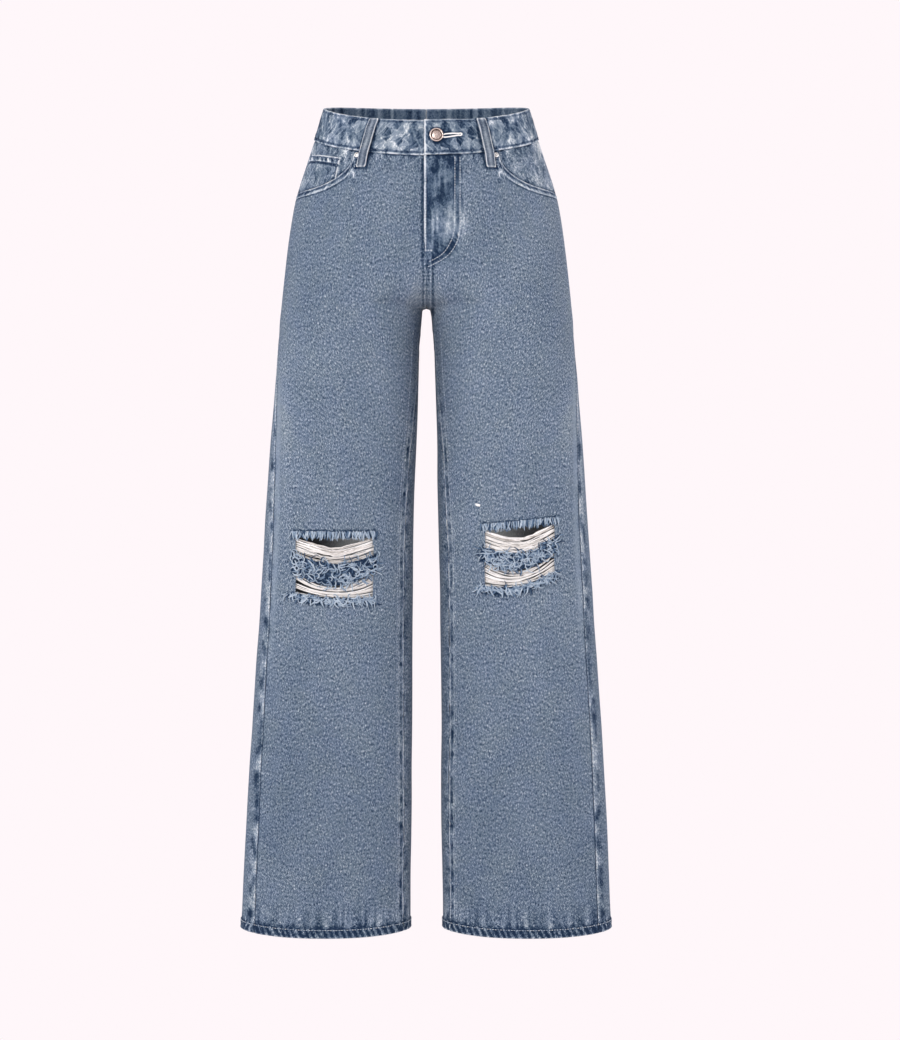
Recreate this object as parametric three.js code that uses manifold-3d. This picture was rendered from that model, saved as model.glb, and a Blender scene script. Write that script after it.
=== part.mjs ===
// Ripped wide-leg jeans, filled out as they hang when worn, with nobody inside.
// Millimetres, +Z up. The front faces -Y, and right and left are the wearer's, so the right leg is at -X.
// The origin is the middle of the waist, where the wearer holds the jeans up.

import * as THREE from "three";
import { mergeVertices } from "three/addons/utils/BufferGeometryUtils.js";
import Module from "manifold-3d";

const wasm = await Module();
wasm.setup();

// A leg is named by the sign of its X, and a face of the cloth by whether it looks forwards.
const rightLeg = -1;
const leftLeg = 1;
const bothLegs = { right: rightLeg, left: leftLeg };
const frontFace = "front";
const backFace = "back";

// Cloth
const denim = 1.5; // one layer
const seamGap = 0.3; // between neighbouring pieces
const overlayWall = 1.2; // a patch pocket or loop sewn on top
const squareness = 2.25; // exponent of a section's rounded outline, where 2 is an ellipse

// Sections of the filled form, in millimetres.
// side: half width of the whole garment. fork: inner edge of a leg, from the centre line, where minus the side means
// that both legs still share one tube. front, back: the foremost and rearmost cloth.
// outseam, inseam: how far each seam comes forward of the outline, onto the front.
const sections = [
  { height: 45, side: 124, fork: -124, front: -82, back: 83, outseam: 0, inseam: 0 },
  { height: 0, side: 138, fork: -138, front: -88, back: 90, outseam: 0, inseam: 0 },
  { height: -40, side: 149, fork: -149, front: -94, back: 97, outseam: 0, inseam: 0 },
  { height: -88, side: 163, fork: -163, front: -100, back: 106, outseam: 0, inseam: 0 },
  { height: -140, side: 172, fork: -172, front: -103, back: 112, outseam: 0, inseam: 0 },
  { height: -180, side: 177, fork: -80, front: -103, back: 114, outseam: 0.004, inseam: 0 },
  { height: -222, side: 181, fork: 0, front: -101, back: 110, outseam: 0.04, inseam: 0 },
  { height: -240, side: 183, fork: 6, front: -100, back: 105, outseam: 0.12, inseam: 0 },
  { height: -275, side: 185, fork: 9, front: -98, back: 98, outseam: 0.7, inseam: 0 },
  { height: -340, side: 190, fork: 11.3, front: -95, back: 88, outseam: 4, inseam: 2 },
  { height: -400, side: 195, fork: 13.1, front: -92, back: 81, outseam: 8, inseam: 6 },
  { height: -540, side: 204, fork: 16.2, front: -86, back: 69, outseam: 13, inseam: 10 },
  { height: -712, side: 215, fork: 18.2, front: -80, back: 59, outseam: 15, inseam: 9.5 },
  { height: -840, side: 223.5, fork: 18.8, front: -76, back: 55, outseam: 16.5, inseam: 8.5 },
  { height: -1000, side: 231, fork: 19.5, front: -74, back: 54, outseam: 18, inseam: 8 },
];
const seatLevel = -140; // above it both legs share one round tube
const crotch = -222;
const hem = { height: -996.5, depth: 12, proud: 0.8, step: 0.8 }; // a turned-up, doubled edge

// Largest folds: a ridge (or a trough, with a negative lift) from one point of a face to another.
const folds = [
  { leg: rightLeg, face: frontFace, top: -255, topX: 176, bottom: -520, bottomX: 169, lift: 2.6, width: 9 },
  { leg: leftLeg, face: frontFace, top: -265, topX: 177, bottom: -505, bottomX: 171, lift: 2.3, width: 9 },
  { leg: rightLeg, face: backFace, top: -232, topX: 45, bottom: -345, bottomX: 118, lift: -3.2, width: 13 },
  { leg: leftLeg, face: backFace, top: -238, topX: 52, bottom: -330, bottomX: 126, lift: -2.8, width: 14 },
  { leg: rightLeg, face: backFace, top: -470, topX: 150, bottom: -640, bottomX: 84, lift: -2.6, width: 15 },
  { leg: leftLeg, face: backFace, top: -490, topX: 146, bottom: -620, bottomX: 92, lift: -3.0, width: 13 },
];

// Waist
const rim = { mean: 23.3, tilt: 20, dip: 4 }; // height of the top edge: low in front, high behind
const waistband = { frontHeight: 44, sideHeight: 40, proud: 1.2, wall: 2.8, underlap: 22 };
const overlap = { edge: 3, full: 28, start: 52 }; // the left end lies over the right one, past the centre line
const yokeSeam = { centreHeight: -108, sideHeight: -70, sideX: 158 };

// Fly: its edge is the left front's, which stands up over the right front
const fly = { edge: 3, clearance: 1.1, lift: 1.8, full: 14, start: 42, fadeTop: -140, bottom: -178 };

// Pockets
const scoop = { centreX: 160, top: -36, halfWidth: 72, depth: 45 }; // front pocket mouth, a quarter of an ellipse
const facing = { innerX: 76, below: 26, sink: 2.7, level: 26 }; // the cloth that shows inside the mouth
const coinPocket = { leg: rightLeg, innerX: 105, innerTop: -44.8, outerX: 145, outerTop: -34.6, wall: 1.2 };
const backPocket = { centreX: 88, top: -128, topWidth: 142, bottomWidth: 128, height: 138, point: 16 };

// Belt loops: where each crosses the top edge and where it ends below the band
const loop = { width: 11, wall: 1.6, standOff: 2.6, below: 20 };
const beltLoops = [
  { name: "belt_loop_front_right", leg: rightLeg, face: frontFace, topX: 63.5, bottomX: 80 },
  { name: "belt_loop_front_left", leg: leftLeg, face: frontFace, topX: 66, bottomX: 79 },
  { name: "belt_loop_back_right", leg: rightLeg, face: backFace, topX: 92, bottomX: 104 },
  { name: "belt_loop_back_left", leg: leftLeg, face: backFace, topX: 92, bottomX: 104 },
  { name: "belt_loop_back_centre", leg: leftLeg, face: backFace, topX: 0, bottomX: 0 },
];

// Fastenings
const button = { x: 11.9, height: -20.9, radius: 8.5 };
const rivet = { x: 84.9, height: -42.5, radius: 3.2 };

// Rips at the knees: inner and outer ends, and the height of each torn edge at its inner end, middle and outer end
const rips = [
  { name: "right", leg: rightLeg, innerX: 65, outerX: 160 },
  { name: "left", leg: leftLeg, innerX: 71, outerX: 156 },
];
const tornEdges = {
  right: {
    top: { inner: -509, middle: -509.5, outer: -509 },
    stripTop: { inner: -530, middle: -540.5, outer: -528 },
    stripBottom: { inner: -551, middle: -567.5, outer: -551 },
    bottom: { inner: -582, middle: -582.5, outer: -576.5 },
  },
  left: {
    top: { inner: -500, middle: -496.5, outer: -492 },
    stripTop: { inner: -521, middle: -528.5, outer: -510 },
    stripBottom: { inner: -537.5, middle: -548, outer: -526.5 },
    bottom: { inner: -567.5, middle: -567.5, outer: -550.5 },
  },
};
const gaps = [
  { name: "upper", above: "top", below: "stripTop" },
  { name: "lower", above: "stripTop", below: "bottom", strip: "stripBottom" },
];
const weft = { strands: 7, radius: 0.7, sink: 5.4, anchor: 3, slack: 0.34 }; // bared white threads across a gap
const fringe = { strands: 10, radius: 0.6, backing: 2.4, backingWall: 0.8, behind: 1.3 }; // frayed blue threads along an edge
const frayedEdges = [
  { name: "top", edge: "top", outside: false, length: 9, spread: 2 },
  { name: "strip", edge: "stripTop", outside: true, length: 15, spread: 3 },
  { name: "bottom", edge: "bottom", outside: true, length: 10, spread: 3 },
];

// Finishes
const denimBlue = new THREE.MeshStandardMaterial({ color: 0x73819a, roughness: 0.9, metalness: 0 });
const denimPale = new THREE.MeshStandardMaterial({ color: 0x8d99a9, roughness: 0.9, metalness: 0 });
const threadBlue = new THREE.MeshStandardMaterial({ color: 0x8ea2bf, roughness: 0.95, metalness: 0 });
const threadWhite = new THREE.MeshStandardMaterial({ color: 0xd9d2cb, roughness: 0.95, metalness: 0 });
const copper = new THREE.MeshStandardMaterial({ color: 0xb89a90, roughness: 0.35, metalness: 1 });
const nickel = new THREE.MeshStandardMaterial({ color: 0xc9c4b8, roughness: 0.3, metalness: 1 });

// Small helpers
const { lerp, clamp, smoothstep } = THREE.MathUtils;
const spread = (count) => Array.from({ length: count }, (_, i) => i / (count - 1));
const uneven = (seed) => Math.abs(Math.sin(seed * 12.9898) * 43758.5453) % 1; // a fixed share from 0 to 1

// One column of the sections table at a height, as a smooth curve that never passes its rows' values.
function sectionValue(column, height) {
  let i = 0;
  while (i < sections.length - 2 && height < sections[i + 1].height) i++;
  const secant = (k) =>
    (sections[k + 1][column] - sections[k][column]) / (sections[k + 1].height - sections[k].height);
  const slope = (k) => {
    if (k === 0 || k === sections.length - 1) return secant(Math.min(k, sections.length - 2));
    const [above, below] = [secant(k - 1), secant(k)];
    return above * below <= 0 ? 0 : (2 * above * below) / (above + below);
  };
  const span = sections[i + 1].height - sections[i].height;
  const t = (height - sections[i].height) / span;
  const ease = t * t * (3 - 2 * t);
  const leave = t * (1 - t) * (1 - t) * span * slope(i);
  const arrive = t * t * (t - 1) * span * slope(i + 1);
  return lerp(sections[i][column], sections[i + 1][column], ease) + leave + arrive;
}

// Centre and half sizes of one leg's section at a height.
function legSection(height) {
  const side = sectionValue("side", height);
  const fork = sectionValue("fork", height);
  const front = sectionValue("front", height);
  const back = sectionValue("back", height);
  return {
    side,
    fork,
    middleX: (side + fork) / 2,
    halfWidth: (side - fork) / 2,
    middleY: (front + back) / 2,
    halfDepth: (back - front) / 2,
  };
}

// A point of the cloth's outer face. turn runs round the leg: 0 at its inner edge, a quarter turn in front,
// half a turn at the outer side, three quarters behind.
function clothPoint(leg, turn, height) {
  const { middleX, halfWidth, middleY, halfDepth } = legSection(height);
  const rounded = (share) => Math.sign(share) * Math.abs(share) ** (2 / squareness);
  return new THREE.Vector3(
    leg * (middleX - halfWidth * rounded(Math.cos(turn))),
    middleY - halfDepth * rounded(Math.sin(turn)),
    height,
  );
}

// The turn at which a leg's front or back face passes x, measured from the centre line towards the side.
function turnAtX(x, height, face = frontFace) {
  const { middleX, halfWidth } = legSection(height);
  const share = clamp((middleX - x) / halfWidth, -1, 1);
  const turn = Math.acos(Math.sign(share) * Math.abs(share) ** (squareness / 2));
  return face === frontFace ? turn : 2 * Math.PI - turn;
}

function clothNormal(leg, turn, height) {
  const step = 1e-3;
  const around = clothPoint(leg, turn + step, height).sub(clothPoint(leg, turn - step, height));
  const down = clothPoint(leg, turn, height - 1).sub(clothPoint(leg, turn, height + 1));
  return down.cross(around).multiplyScalar(leg).normalize();
}

function foldLift({ leg, turn, height }) {
  const face = Math.sin(turn) >= 0 ? frontFace : backFace;
  const x = leg * clothPoint(leg, turn, height).x;
  const along = (fold) => (height - fold.top) / (fold.bottom - fold.top);
  return folds
    .filter((fold) => fold.leg === leg && fold.face === face && along(fold) > 0 && along(fold) < 1)
    .map((fold) => {
      const off = (x - lerp(fold.topX, fold.bottomX, along(fold))) / fold.width;
      return fold.lift * Math.exp(-off * off) * Math.sin(Math.PI * along(fold));
    })
    .reduce((sum, lift) => sum + lift, 0);
}

// A spot is a leg, a turn and a height. onCloth lifts it off the cloth's outer face, along its normal.
function onCloth(spot, lift) {
  const normal = clothNormal(spot.leg, spot.turn, spot.height);
  return clothPoint(spot.leg, spot.turn, spot.height).addScaledVector(normal, lift + foldLift(spot));
}

// Edges and seams round the waist, by turn
const rimHeight = (turn) => rim.mean - rim.tilt * Math.sin(turn) + rim.dip * Math.cos(2 * turn);
const bandHeight = (turn) => lerp(waistband.frontHeight, waistband.sideHeight, Math.abs(Math.cos(turn)));
const waistSeam = (turn) => rimHeight(turn) - bandHeight(turn);
const yokeHeight = (x) => lerp(yokeSeam.centreHeight, yokeSeam.sideHeight, x / yokeSeam.sideX);

function scoopHeight(x) {
  const off = clamp((scoop.centreX - x) / scoop.halfWidth, 0, 1);
  return scoop.top - scoop.depth * Math.sqrt(1 - off * off);
}

// Turns of the side seam and of the inner edges at a height
function sideTurn(height) {
  const { side, halfDepth } = legSection(height);
  const turn = turnAtX(side - sectionValue("outseam", height), height);
  return { front: turn - seamGap / 2 / halfDepth, back: turn + seamGap / 2 / halfDepth };
}

function innerTurn(height, centreEdge) {
  if (height > crotch) {
    return { front: turnAtX(centreEdge, height), back: turnAtX(seamGap / 2, height, backFace) };
  }
  const { fork, halfDepth } = legSection(height);
  const turn = turnAtX(fork + sectionValue("inseam", height), height);
  return { front: turn + seamGap / 2 / halfDepth, back: 2 * Math.PI + turn - seamGap / 2 / halfDepth };
}

// Front edge of each front panel: the fly's edge above, the centre seam below it
function centreEdge(leg, height) {
  const flyShare = smoothstep(height, fly.bottom, fly.fadeTop);
  const edge = leg === leftLeg ? -fly.edge : fly.edge + fly.clearance;
  return lerp(seamGap / 2, edge, flyShare);
}

function flyLift({ leg, turn, height }) {
  if (leg !== leftLeg || height < fly.bottom) return 0;
  const x = clothPoint(leg, turn, height).x;
  return fly.lift * (1 - smoothstep(x, fly.full, fly.start)) * smoothstep(height, fly.bottom, fly.fadeTop);
}

// Solids

function facingOut(geometry) {
  const p = geometry.attributes.position;
  const index = geometry.index.array;
  const corner = (i) => new THREE.Vector3().fromBufferAttribute(p, index[i]);
  let volume = 0;
  for (let i = 0; i < index.length; i += 3) {
    volume += corner(i).dot(corner(i + 1).cross(corner(i + 2)));
  }
  if (volume < 0) {
    for (let i = 0; i < index.length; i += 3) [index[i], index[i + 1]] = [index[i + 1], index[i]];
  }
  geometry.computeVertexNormals();
  return geometry;
}

// A closed wall of cloth between two lifts, over columns of spots that each run from the top down.
function clothWall(columns, outerLift, innerLift) {
  const rows = columns[0].length;
  const lastRow = rows - 1;
  const lastColumn = columns.length - 1;
  const positions = [outerLift, innerLift].flatMap((lift) =>
    columns.flat().flatMap((spot) => onCloth(spot, lift(spot)).toArray()),
  );
  const outer = (c, r) => c * rows + r;
  const inner = (c, r) => columns.length * rows + c * rows + r;
  const triangles = [];
  const quad = (a, b, c, d) => triangles.push(a, b, c, a, c, d);
  for (let c = 0; c < lastColumn; c++) {
    for (let r = 0; r < lastRow; r++) {
      quad(outer(c, r), outer(c + 1, r), outer(c + 1, r + 1), outer(c, r + 1));
      quad(inner(c, r), inner(c, r + 1), inner(c + 1, r + 1), inner(c + 1, r));
    }
    quad(outer(c + 1, 0), outer(c, 0), inner(c, 0), inner(c + 1, 0));
    quad(outer(c, lastRow), outer(c + 1, lastRow), inner(c + 1, lastRow), inner(c, lastRow));
  }
  for (let r = 0; r < lastRow; r++) {
    quad(outer(0, r), outer(0, r + 1), inner(0, r + 1), inner(0, r));
    quad(outer(lastColumn, r + 1), outer(lastColumn, r), inner(lastColumn, r), inner(lastColumn, r + 1));
  }
  const geometry = new THREE.BufferGeometry();
  geometry.setAttribute("position", new THREE.Float32BufferAttribute(positions, 3));
  geometry.setIndex(triangles);
  return facingOut(geometry);
}

function solidOf(geometry) {
  const bare = geometry.clone();
  bare.deleteAttribute("normal");
  bare.deleteAttribute("uv");
  const merged = facingOut(mergeVertices(bare, 1e-4));
  return new wasm.Manifold(
    new wasm.Mesh({
      numProp: 3,
      vertProperties: merged.attributes.position.array,
      triVerts: new Uint32Array(merged.index.array),
    }),
  );
}

function geometryOf(solid) {
  const { vertProperties, triVerts } = solid.getMesh();
  const geometry = new THREE.BufferGeometry();
  geometry.setAttribute("position", new THREE.BufferAttribute(vertProperties, 3));
  geometry.setIndex(new THREE.BufferAttribute(triVerts, 1));
  geometry.computeVertexNormals();
  return geometry;
}

// A prism of an outline of [x, height] corners, from the middle of the garment out through its front (-1) or back (1)
function prismThrough(outline, towards) {
  const prism = new THREE.ExtrudeGeometry(new THREE.Shape(outline), { depth: 160, bevelEnabled: false });
  prism.rotateX(Math.PI / 2);
  return solidOf(towards < 0 ? prism : prism.translate(0, 160, 0));
}

// Levels of a leg panel's rows: even above the seat, closer near the crotch, even down the leg, then the hem.
const rowCounts = { top: 4, fork: 6, leg: 15 };
const hemTop = hem.height + hem.depth;

function panelLevels(top) {
  return [
    ...spread(rowCounts.top).map((t) => lerp(top, seatLevel, t)),
    ...spread(rowCounts.fork).slice(1).map((t) => lerp(seatLevel, crotch, 1 - (1 - t) ** 1.6)),
    ...spread(rowCounts.leg).slice(1).map((t) => lerp(crotch, hemTop + hem.step, t ** 1.25)),
    hemTop,
    hem.height,
  ];
}

const hemLift = ({ height }) => (height < hemTop + hem.step / 2 ? hem.proud : 0);

// A column's top follows an edge that depends on x, and x depends on the height, so it is settled in a few steps.
function settledTop(turnOf, heightAt, start) {
  let height = start;
  for (let i = 0; i < 12; i++) height = heightAt(turnOf(height), height);
  return height;
}

const xOf = (turn, height) => clothPoint(leftLeg, turn, height).x;

function frontPanel(leg) {
  const turnOf = (share) => (height) =>
    lerp(innerTurn(height, centreEdge(leg, height)).front, sideTurn(height).front, share);
  const topEdge = (turn, height) => {
    const x = xOf(turn, height);
    const seam = waistSeam(turn) - seamGap;
    return x < scoop.centreX - scoop.halfWidth ? seam : Math.min(seam, scoopHeight(x));
  };
  const shareAt = (x) => {
    const height = scoop.top;
    const inner = innerTurn(height, centreEdge(leg, height)).front;
    return (turnAtX(x, height) - inner) / (sideTurn(height).front - inner);
  };
  const scoopStart = scoop.centreX - scoop.halfWidth;
  const closeColumns = [scoopStart - 0.5, scoopStart + 0.8, scoopStart + 5, scoopStart + 12].map(shareAt);
  const shares = [...spread(11), ...closeColumns].sort((a, b) => a - b);
  const columns = shares.map((share) => {
    const top = settledTop(turnOf(share), topEdge, scoop.top);
    return panelLevels(top).map((height) => ({ leg, turn: turnOf(share)(height), height }));
  });
  return clothWall(
    columns,
    (spot) => flyLift(spot) + hemLift(spot),
    (spot) => flyLift(spot) - denim - hemLift(spot),
  );
}

function backColumns(leg) {
  const turnOf = (share) => (height) =>
    lerp(sideTurn(height).back, innerTurn(height, seamGap / 2).back, share);
  const topEdge = (turn, height) => yokeHeight(xOf(turn, height)) - seamGap;
  return spread(13).map((share) => {
    const top = settledTop(turnOf(share), topEdge, yokeSeam.centreHeight);
    return panelLevels(top).map((height) => ({ leg, turn: turnOf(share)(height), height }));
  });
}

function backPanel(leg) {
  return clothWall(backColumns(leg), hemLift, (spot) => -denim - hemLift(spot));
}

function yoke(leg) {
  const turnOf = (share) => (height) =>
    lerp(sideTurn(height).back, innerTurn(height, seamGap / 2).back, share);
  const columns = spread(10).map((share) => {
    const top = settledTop(turnOf(share), (turn) => waistSeam(turn) - seamGap, scoop.top);
    const bottom = settledTop(turnOf(share), (turn, height) => yokeHeight(xOf(turn, height)), scoop.top);
    return spread(4).map((t) => {
      const height = lerp(top, bottom, t);
      return { leg, turn: turnOf(share)(height), height };
    });
  });
  return clothWall(columns, () => 0, () => -denim);
}

// Half of the waistband, from its front end round to the centre of the back
function waistbandHalf(leg) {
  const frontEnd = leg === leftLeg ? -overlap.edge : -waistband.underlap;
  const columns = spread(25).map((share) =>
    spread(4).map((t) => {
      const turnOf = (height) =>
        lerp(turnAtX(frontEnd, height), turnAtX(seamGap / 2, height, backFace), share);
      const height = settledTop(turnOf, (turn) => lerp(rimHeight(turn), waistSeam(turn), t), 0);
      return { leg, turn: turnOf(height), height };
    }),
  );
  const outer = (spot) => waistband.proud + overlapLift(spot);
  return clothWall(columns, outer, (spot) => outer(spot) - waistband.wall);
}

// The left end climbs over the right one, which runs on flat under it.
function overlapLift({ leg, turn, height }) {
  if (leg !== leftLeg || Math.sin(turn) < 0) return 0;
  const x = clothPoint(leg, turn, height).x;
  return (waistband.wall + seamGap) * (1 - smoothstep(x, overlap.full, overlap.start));
}

// How far the facing lies under the front panel's face: in full at the mouth's edge, not at all high above it
function facingLift({ turn, height }) {
  const above = height - scoopHeight(xOf(turn, height));
  return -facing.sink * (1 - smoothstep(above, 6, facing.level));
}

// The cloth inside a front pocket's mouth, running on under the front panel
function facingColumns(leg) {
  const turnOf = (share) => (height) => lerp(turnAtX(facing.innerX, height), sideTurn(height).front, share);
  return spread(11).map((share) => {
    const top = settledTop(turnOf(share), (turn) => waistSeam(turn) - seamGap, scoop.top);
    const lower = (turn, height) => scoopHeight(xOf(turn, height)) - facing.below;
    const bottom = settledTop(turnOf(share), lower, scoop.top);
    return spread(6).map((t) => {
      const height = lerp(top, bottom, t);
      return { leg, turn: turnOf(share)(height), height };
    });
  });
}

function pocketFacing(leg) {
  return clothWall(facingColumns(leg), facingLift, (spot) => facingLift(spot) - denim);
}

// The small pocket on the right facing: the facing's own points moved out, trimmed to an outline that ends just
// above the mouth's edge
function coinPocketPatch() {
  const { leg, innerX, innerTop, outerX, outerTop, wall } = coinPocket;
  const mouth = spread(8).map((t) => lerp(scoop.centreX, innerX + 7, t));
  const corners = [
    [innerX, innerTop],
    [outerX, outerTop],
    [outerX + 30, outerTop],
    [outerX + 30, scoopHeight(scoop.centreX) + 2 * seamGap],
    ...mouth.map((x) => [x, scoopHeight(x) + 2 * seamGap]),
  ];
  const outline = corners.map(([x, z]) => new THREE.Vector2(leg * x, z));
  const inner = (spot) => facingLift(spot) + seamGap;
  const cloth = clothWall(facingColumns(leg), (spot) => inner(spot) + wall, inner);
  return geometryOf(solidOf(cloth).intersect(prismThrough(outline, -1)));
}

// A patch pocket with a pointed bottom: the back panel's own points moved out, trimmed to the pocket's outline
function backPocketPatch(leg) {
  const { centreX, top, topWidth, bottomWidth, height, point } = backPocket;
  const corners = [
    [-topWidth / 2, top],
    [topWidth / 2, top],
    [bottomWidth / 2, top - height],
    [0, top - height - point],
    [-bottomWidth / 2, top - height],
  ];
  const outline = corners.map(([x, z]) => new THREE.Vector2(leg * (centreX + x), z));
  const cloth = clothWall(backColumns(leg), () => seamGap + overlayWall, () => seamGap);
  return geometryOf(solidOf(cloth).intersect(prismThrough(outline, 1)));
}

// A strip from the top edge down over the band, standing off it in the middle
function beltLoop({ leg, face, topX, bottomX }) {
  const half = loop.width / 2;
  const stations = spread(10);
  const rimAt = settledTop((height) => turnAtX(topX, height, face), rimHeight, 0);
  const seamAt = settledTop((height) => turnAtX(bottomX, height, face), waistSeam, 0);
  const columns = [-1, 0, 1].map((across) =>
    stations.map((t) => {
      const height = lerp(rimAt - 1, seamAt - loop.below, t);
      return { leg, turn: turnAtX(lerp(topX, bottomX, t) + across * half, height, face), height };
    }),
  );
  const inner = (spot) => {
    const t = (rimAt - 1 - spot.height) / (rimAt - 1 - seamAt + loop.below);
    const onBand = waistband.proud * smoothstep(1 - t, 0.06, 0.28);
    return seamGap + onBand + loop.standOff * smoothstep(t, 0.02, 0.22) * smoothstep(1 - t, 0.02, 0.3);
  };
  return clothWall(columns, (spot) => inner(spot) + loop.wall, inner);
}

// A round metal piece, turned from a profile of [radius, height] pairs and set on the cloth
function setOnCloth(profile, spot, lift) {
  const points = profile.map(([r, h]) => new THREE.Vector2(r, h));
  const turned = new THREE.LatheGeometry(points, 20);
  const mesh = new THREE.Mesh(geometryOf(solidOf(turned)));
  mesh.position.copy(onCloth(spot, lift));
  const outwards = clothNormal(spot.leg, spot.turn, spot.height);
  mesh.quaternion.setFromUnitVectors(new THREE.Vector3(0, 1, 0), outwards);
  return mesh;
}

function shankButton() {
  const { radius: r } = button;
  const profile = [[0, 0], [r * 0.7, 0], [r, 0.9], [r, 2], [r * 0.9, 2.8], [r * 0.78, 2.3], [0, 2.9]];
  const spot = { leg: leftLeg, turn: turnAtX(button.x, button.height), height: button.height };
  return setOnCloth(profile, spot, waistband.proud + overlapLift(spot) + seamGap);
}

function pocketRivet(leg) {
  const { radius: r } = rivet;
  const profile = [[0, 0], [r, 0], [r, 0.6], [r * 0.7, 1.3], [r * 0.35, 1.1], [0, 1.3]];
  return setOnCloth(profile, { leg, turn: turnAtX(rivet.x, rivet.height), height: rivet.height }, seamGap);
}

// Rips

// Height of a torn edge at a share of the way from the rip's inner end to its outer end
function tornHeight(rip, edge, share) {
  const { inner, middle, outer } = tornEdges[rip.name][edge];
  const bow = 4 * share * (1 - share);
  return lerp(inner, outer, share) + bow * (middle - (inner + outer) / 2);
}

const ripX = (rip, share) => lerp(rip.innerX, rip.outerX, share);
const upperEdge = (gap) => gap.strip ?? gap.above;

// What one gap takes out of the front of the leg
function gapCutter(rip, gap) {
  const edge = (name) =>
    spread(9).map((t) => new THREE.Vector2(rip.leg * ripX(rip, t), tornHeight(rip, name, t)));
  return prismThrough([...edge(upperEdge(gap)), ...edge(gap.below).reverse()], -1);
}

function rippedFront(leg) {
  const rip = rips.find((candidate) => candidate.leg === leg);
  const cut = gaps.reduce((wall, gap) => wall.subtract(gapCutter(rip, gap)), solidOf(frontPanel(leg)));
  return geometryOf(cut);
}

const frontSpot = (leg, x, height) => ({ leg, turn: turnAtX(x, height), height });

// A thin three-sided thread along points given as [x, height, lift] on a leg's front
function strand(leg, route, radius, steps) {
  const points = route.map(([x, height, lift]) => onCloth(frontSpot(leg, x, height), lift));
  const corners = [0, 1, 2].map((k) => {
    const angle = (k * 2 * Math.PI) / 3;
    return new THREE.Vector2(radius * Math.cos(angle), radius * Math.sin(angle));
  });
  const path = new THREE.CatmullRomCurve3(points);
  const section = new THREE.Shape(corners);
  return solidOf(new THREE.ExtrudeGeometry(section, { steps, extrudePath: path, bevelEnabled: false }));
}

const joined = (solids) => geometryOf(solids.reduce((sum, solid) => sum.add(solid)));

// Bared weft threads that sag across a gap, rooted in a narrow upright strip behind each end
function weftThreads(rip, gap) {
  const lift = -weft.sink;
  const strip = (x) => {
    const columns = [-1, 1].map((across) =>
      spread(3).map((t) => {
        const end = x < (rip.innerX + rip.outerX) / 2 ? 0 : 1;
        const height = lerp(tornHeight(rip, upperEdge(gap), end), tornHeight(rip, gap.below, end), t);
        return frontSpot(rip.leg, x + across, height);
      }),
    );
    return solidOf(clothWall(columns, () => lift + weft.radius, () => lift - weft.radius));
  };
  const strands = spread(weft.strands).map((share, i) => {
    const level = lerp(0.12, 0.88, share);
    const route = spread(7).map((t) => {
      const sag = 4 * t * (1 - t);
      const depth = lerp(level, weft.slack + (1 - weft.slack) * level, sag) + 0.04 * sag * (uneven(i + 1) - 0.5);
      const edgeShare = clamp(t, 0, 1);
      const height = lerp(
        tornHeight(rip, upperEdge(gap), edgeShare),
        tornHeight(rip, gap.below, edgeShare),
        depth,
      );
      return [lerp(rip.innerX - weft.anchor, rip.outerX + weft.anchor, t), height, lift];
    });
    return strand(rip.leg, route, weft.radius, 6);
  });
  return joined([strip(rip.innerX - weft.anchor), strip(rip.outerX + weft.anchor), ...strands]);
}

// Frayed threads along a torn edge, rooted in a narrow strip just behind the cloth or, where they
// fall over it, just in front
function frayedFringe(rip, frayed) {
  const edgeHeight = (t) => tornHeight(rip, frayed.edge, t);
  const rootLift = frayed.outside ? seamGap + fringe.backingWall : -denim - fringe.behind;
  const start = frayed.outside ? -0.8 : fringe.backing;
  const columns = spread(9).map((t) =>
    [0, 1].map((down) => frontSpot(rip.leg, ripX(rip, t), edgeHeight(t) + start - down * fringe.backing)),
  );
  const backing = solidOf(clothWall(columns, () => rootLift, () => rootLift - fringe.backingWall));
  const strands = spread(fringe.strands).map((share, i) => {
    const t = lerp(0.03, 0.97, share);
    const x = ripX(rip, t);
    const drift = (uneven(i + 3) - 0.5) * frayed.spread;
    const length = frayed.length * lerp(0.65, 1, uneven(i + 11));
    const root = edgeHeight(t) + start - fringe.backing * 0.4;
    const middleLift = rootLift - fringe.backingWall / 2;
    const outLift = frayed.outside ? middleLift + lerp(1, 2.4, uneven(i + 7)) : middleLift + 2;
    const clear = frayed.outside ? root - 1.5 : edgeHeight(t) - 1.6;
    const route = [
      [x, root, middleLift],
      [x, clear, frayed.outside ? lerp(middleLift, outLift, 0.5) : middleLift],
      [x + drift * 0.6, clear - length * 0.45, outLift],
      [x + drift, clear - length, frayed.outside ? lerp(middleLift, outLift, 0.6) : outLift],
    ];
    return strand(rip.leg, route, fringe.radius, 3);
  });
  return joined([backing, ...strands]);
}

// The garment

const jeans = new THREE.Group();

function sew(name, piece, material) {
  const mesh = piece.isMesh ? piece : new THREE.Mesh(piece);
  mesh.name = name;
  mesh.material = material;
  jeans.add(mesh);
}

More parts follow.
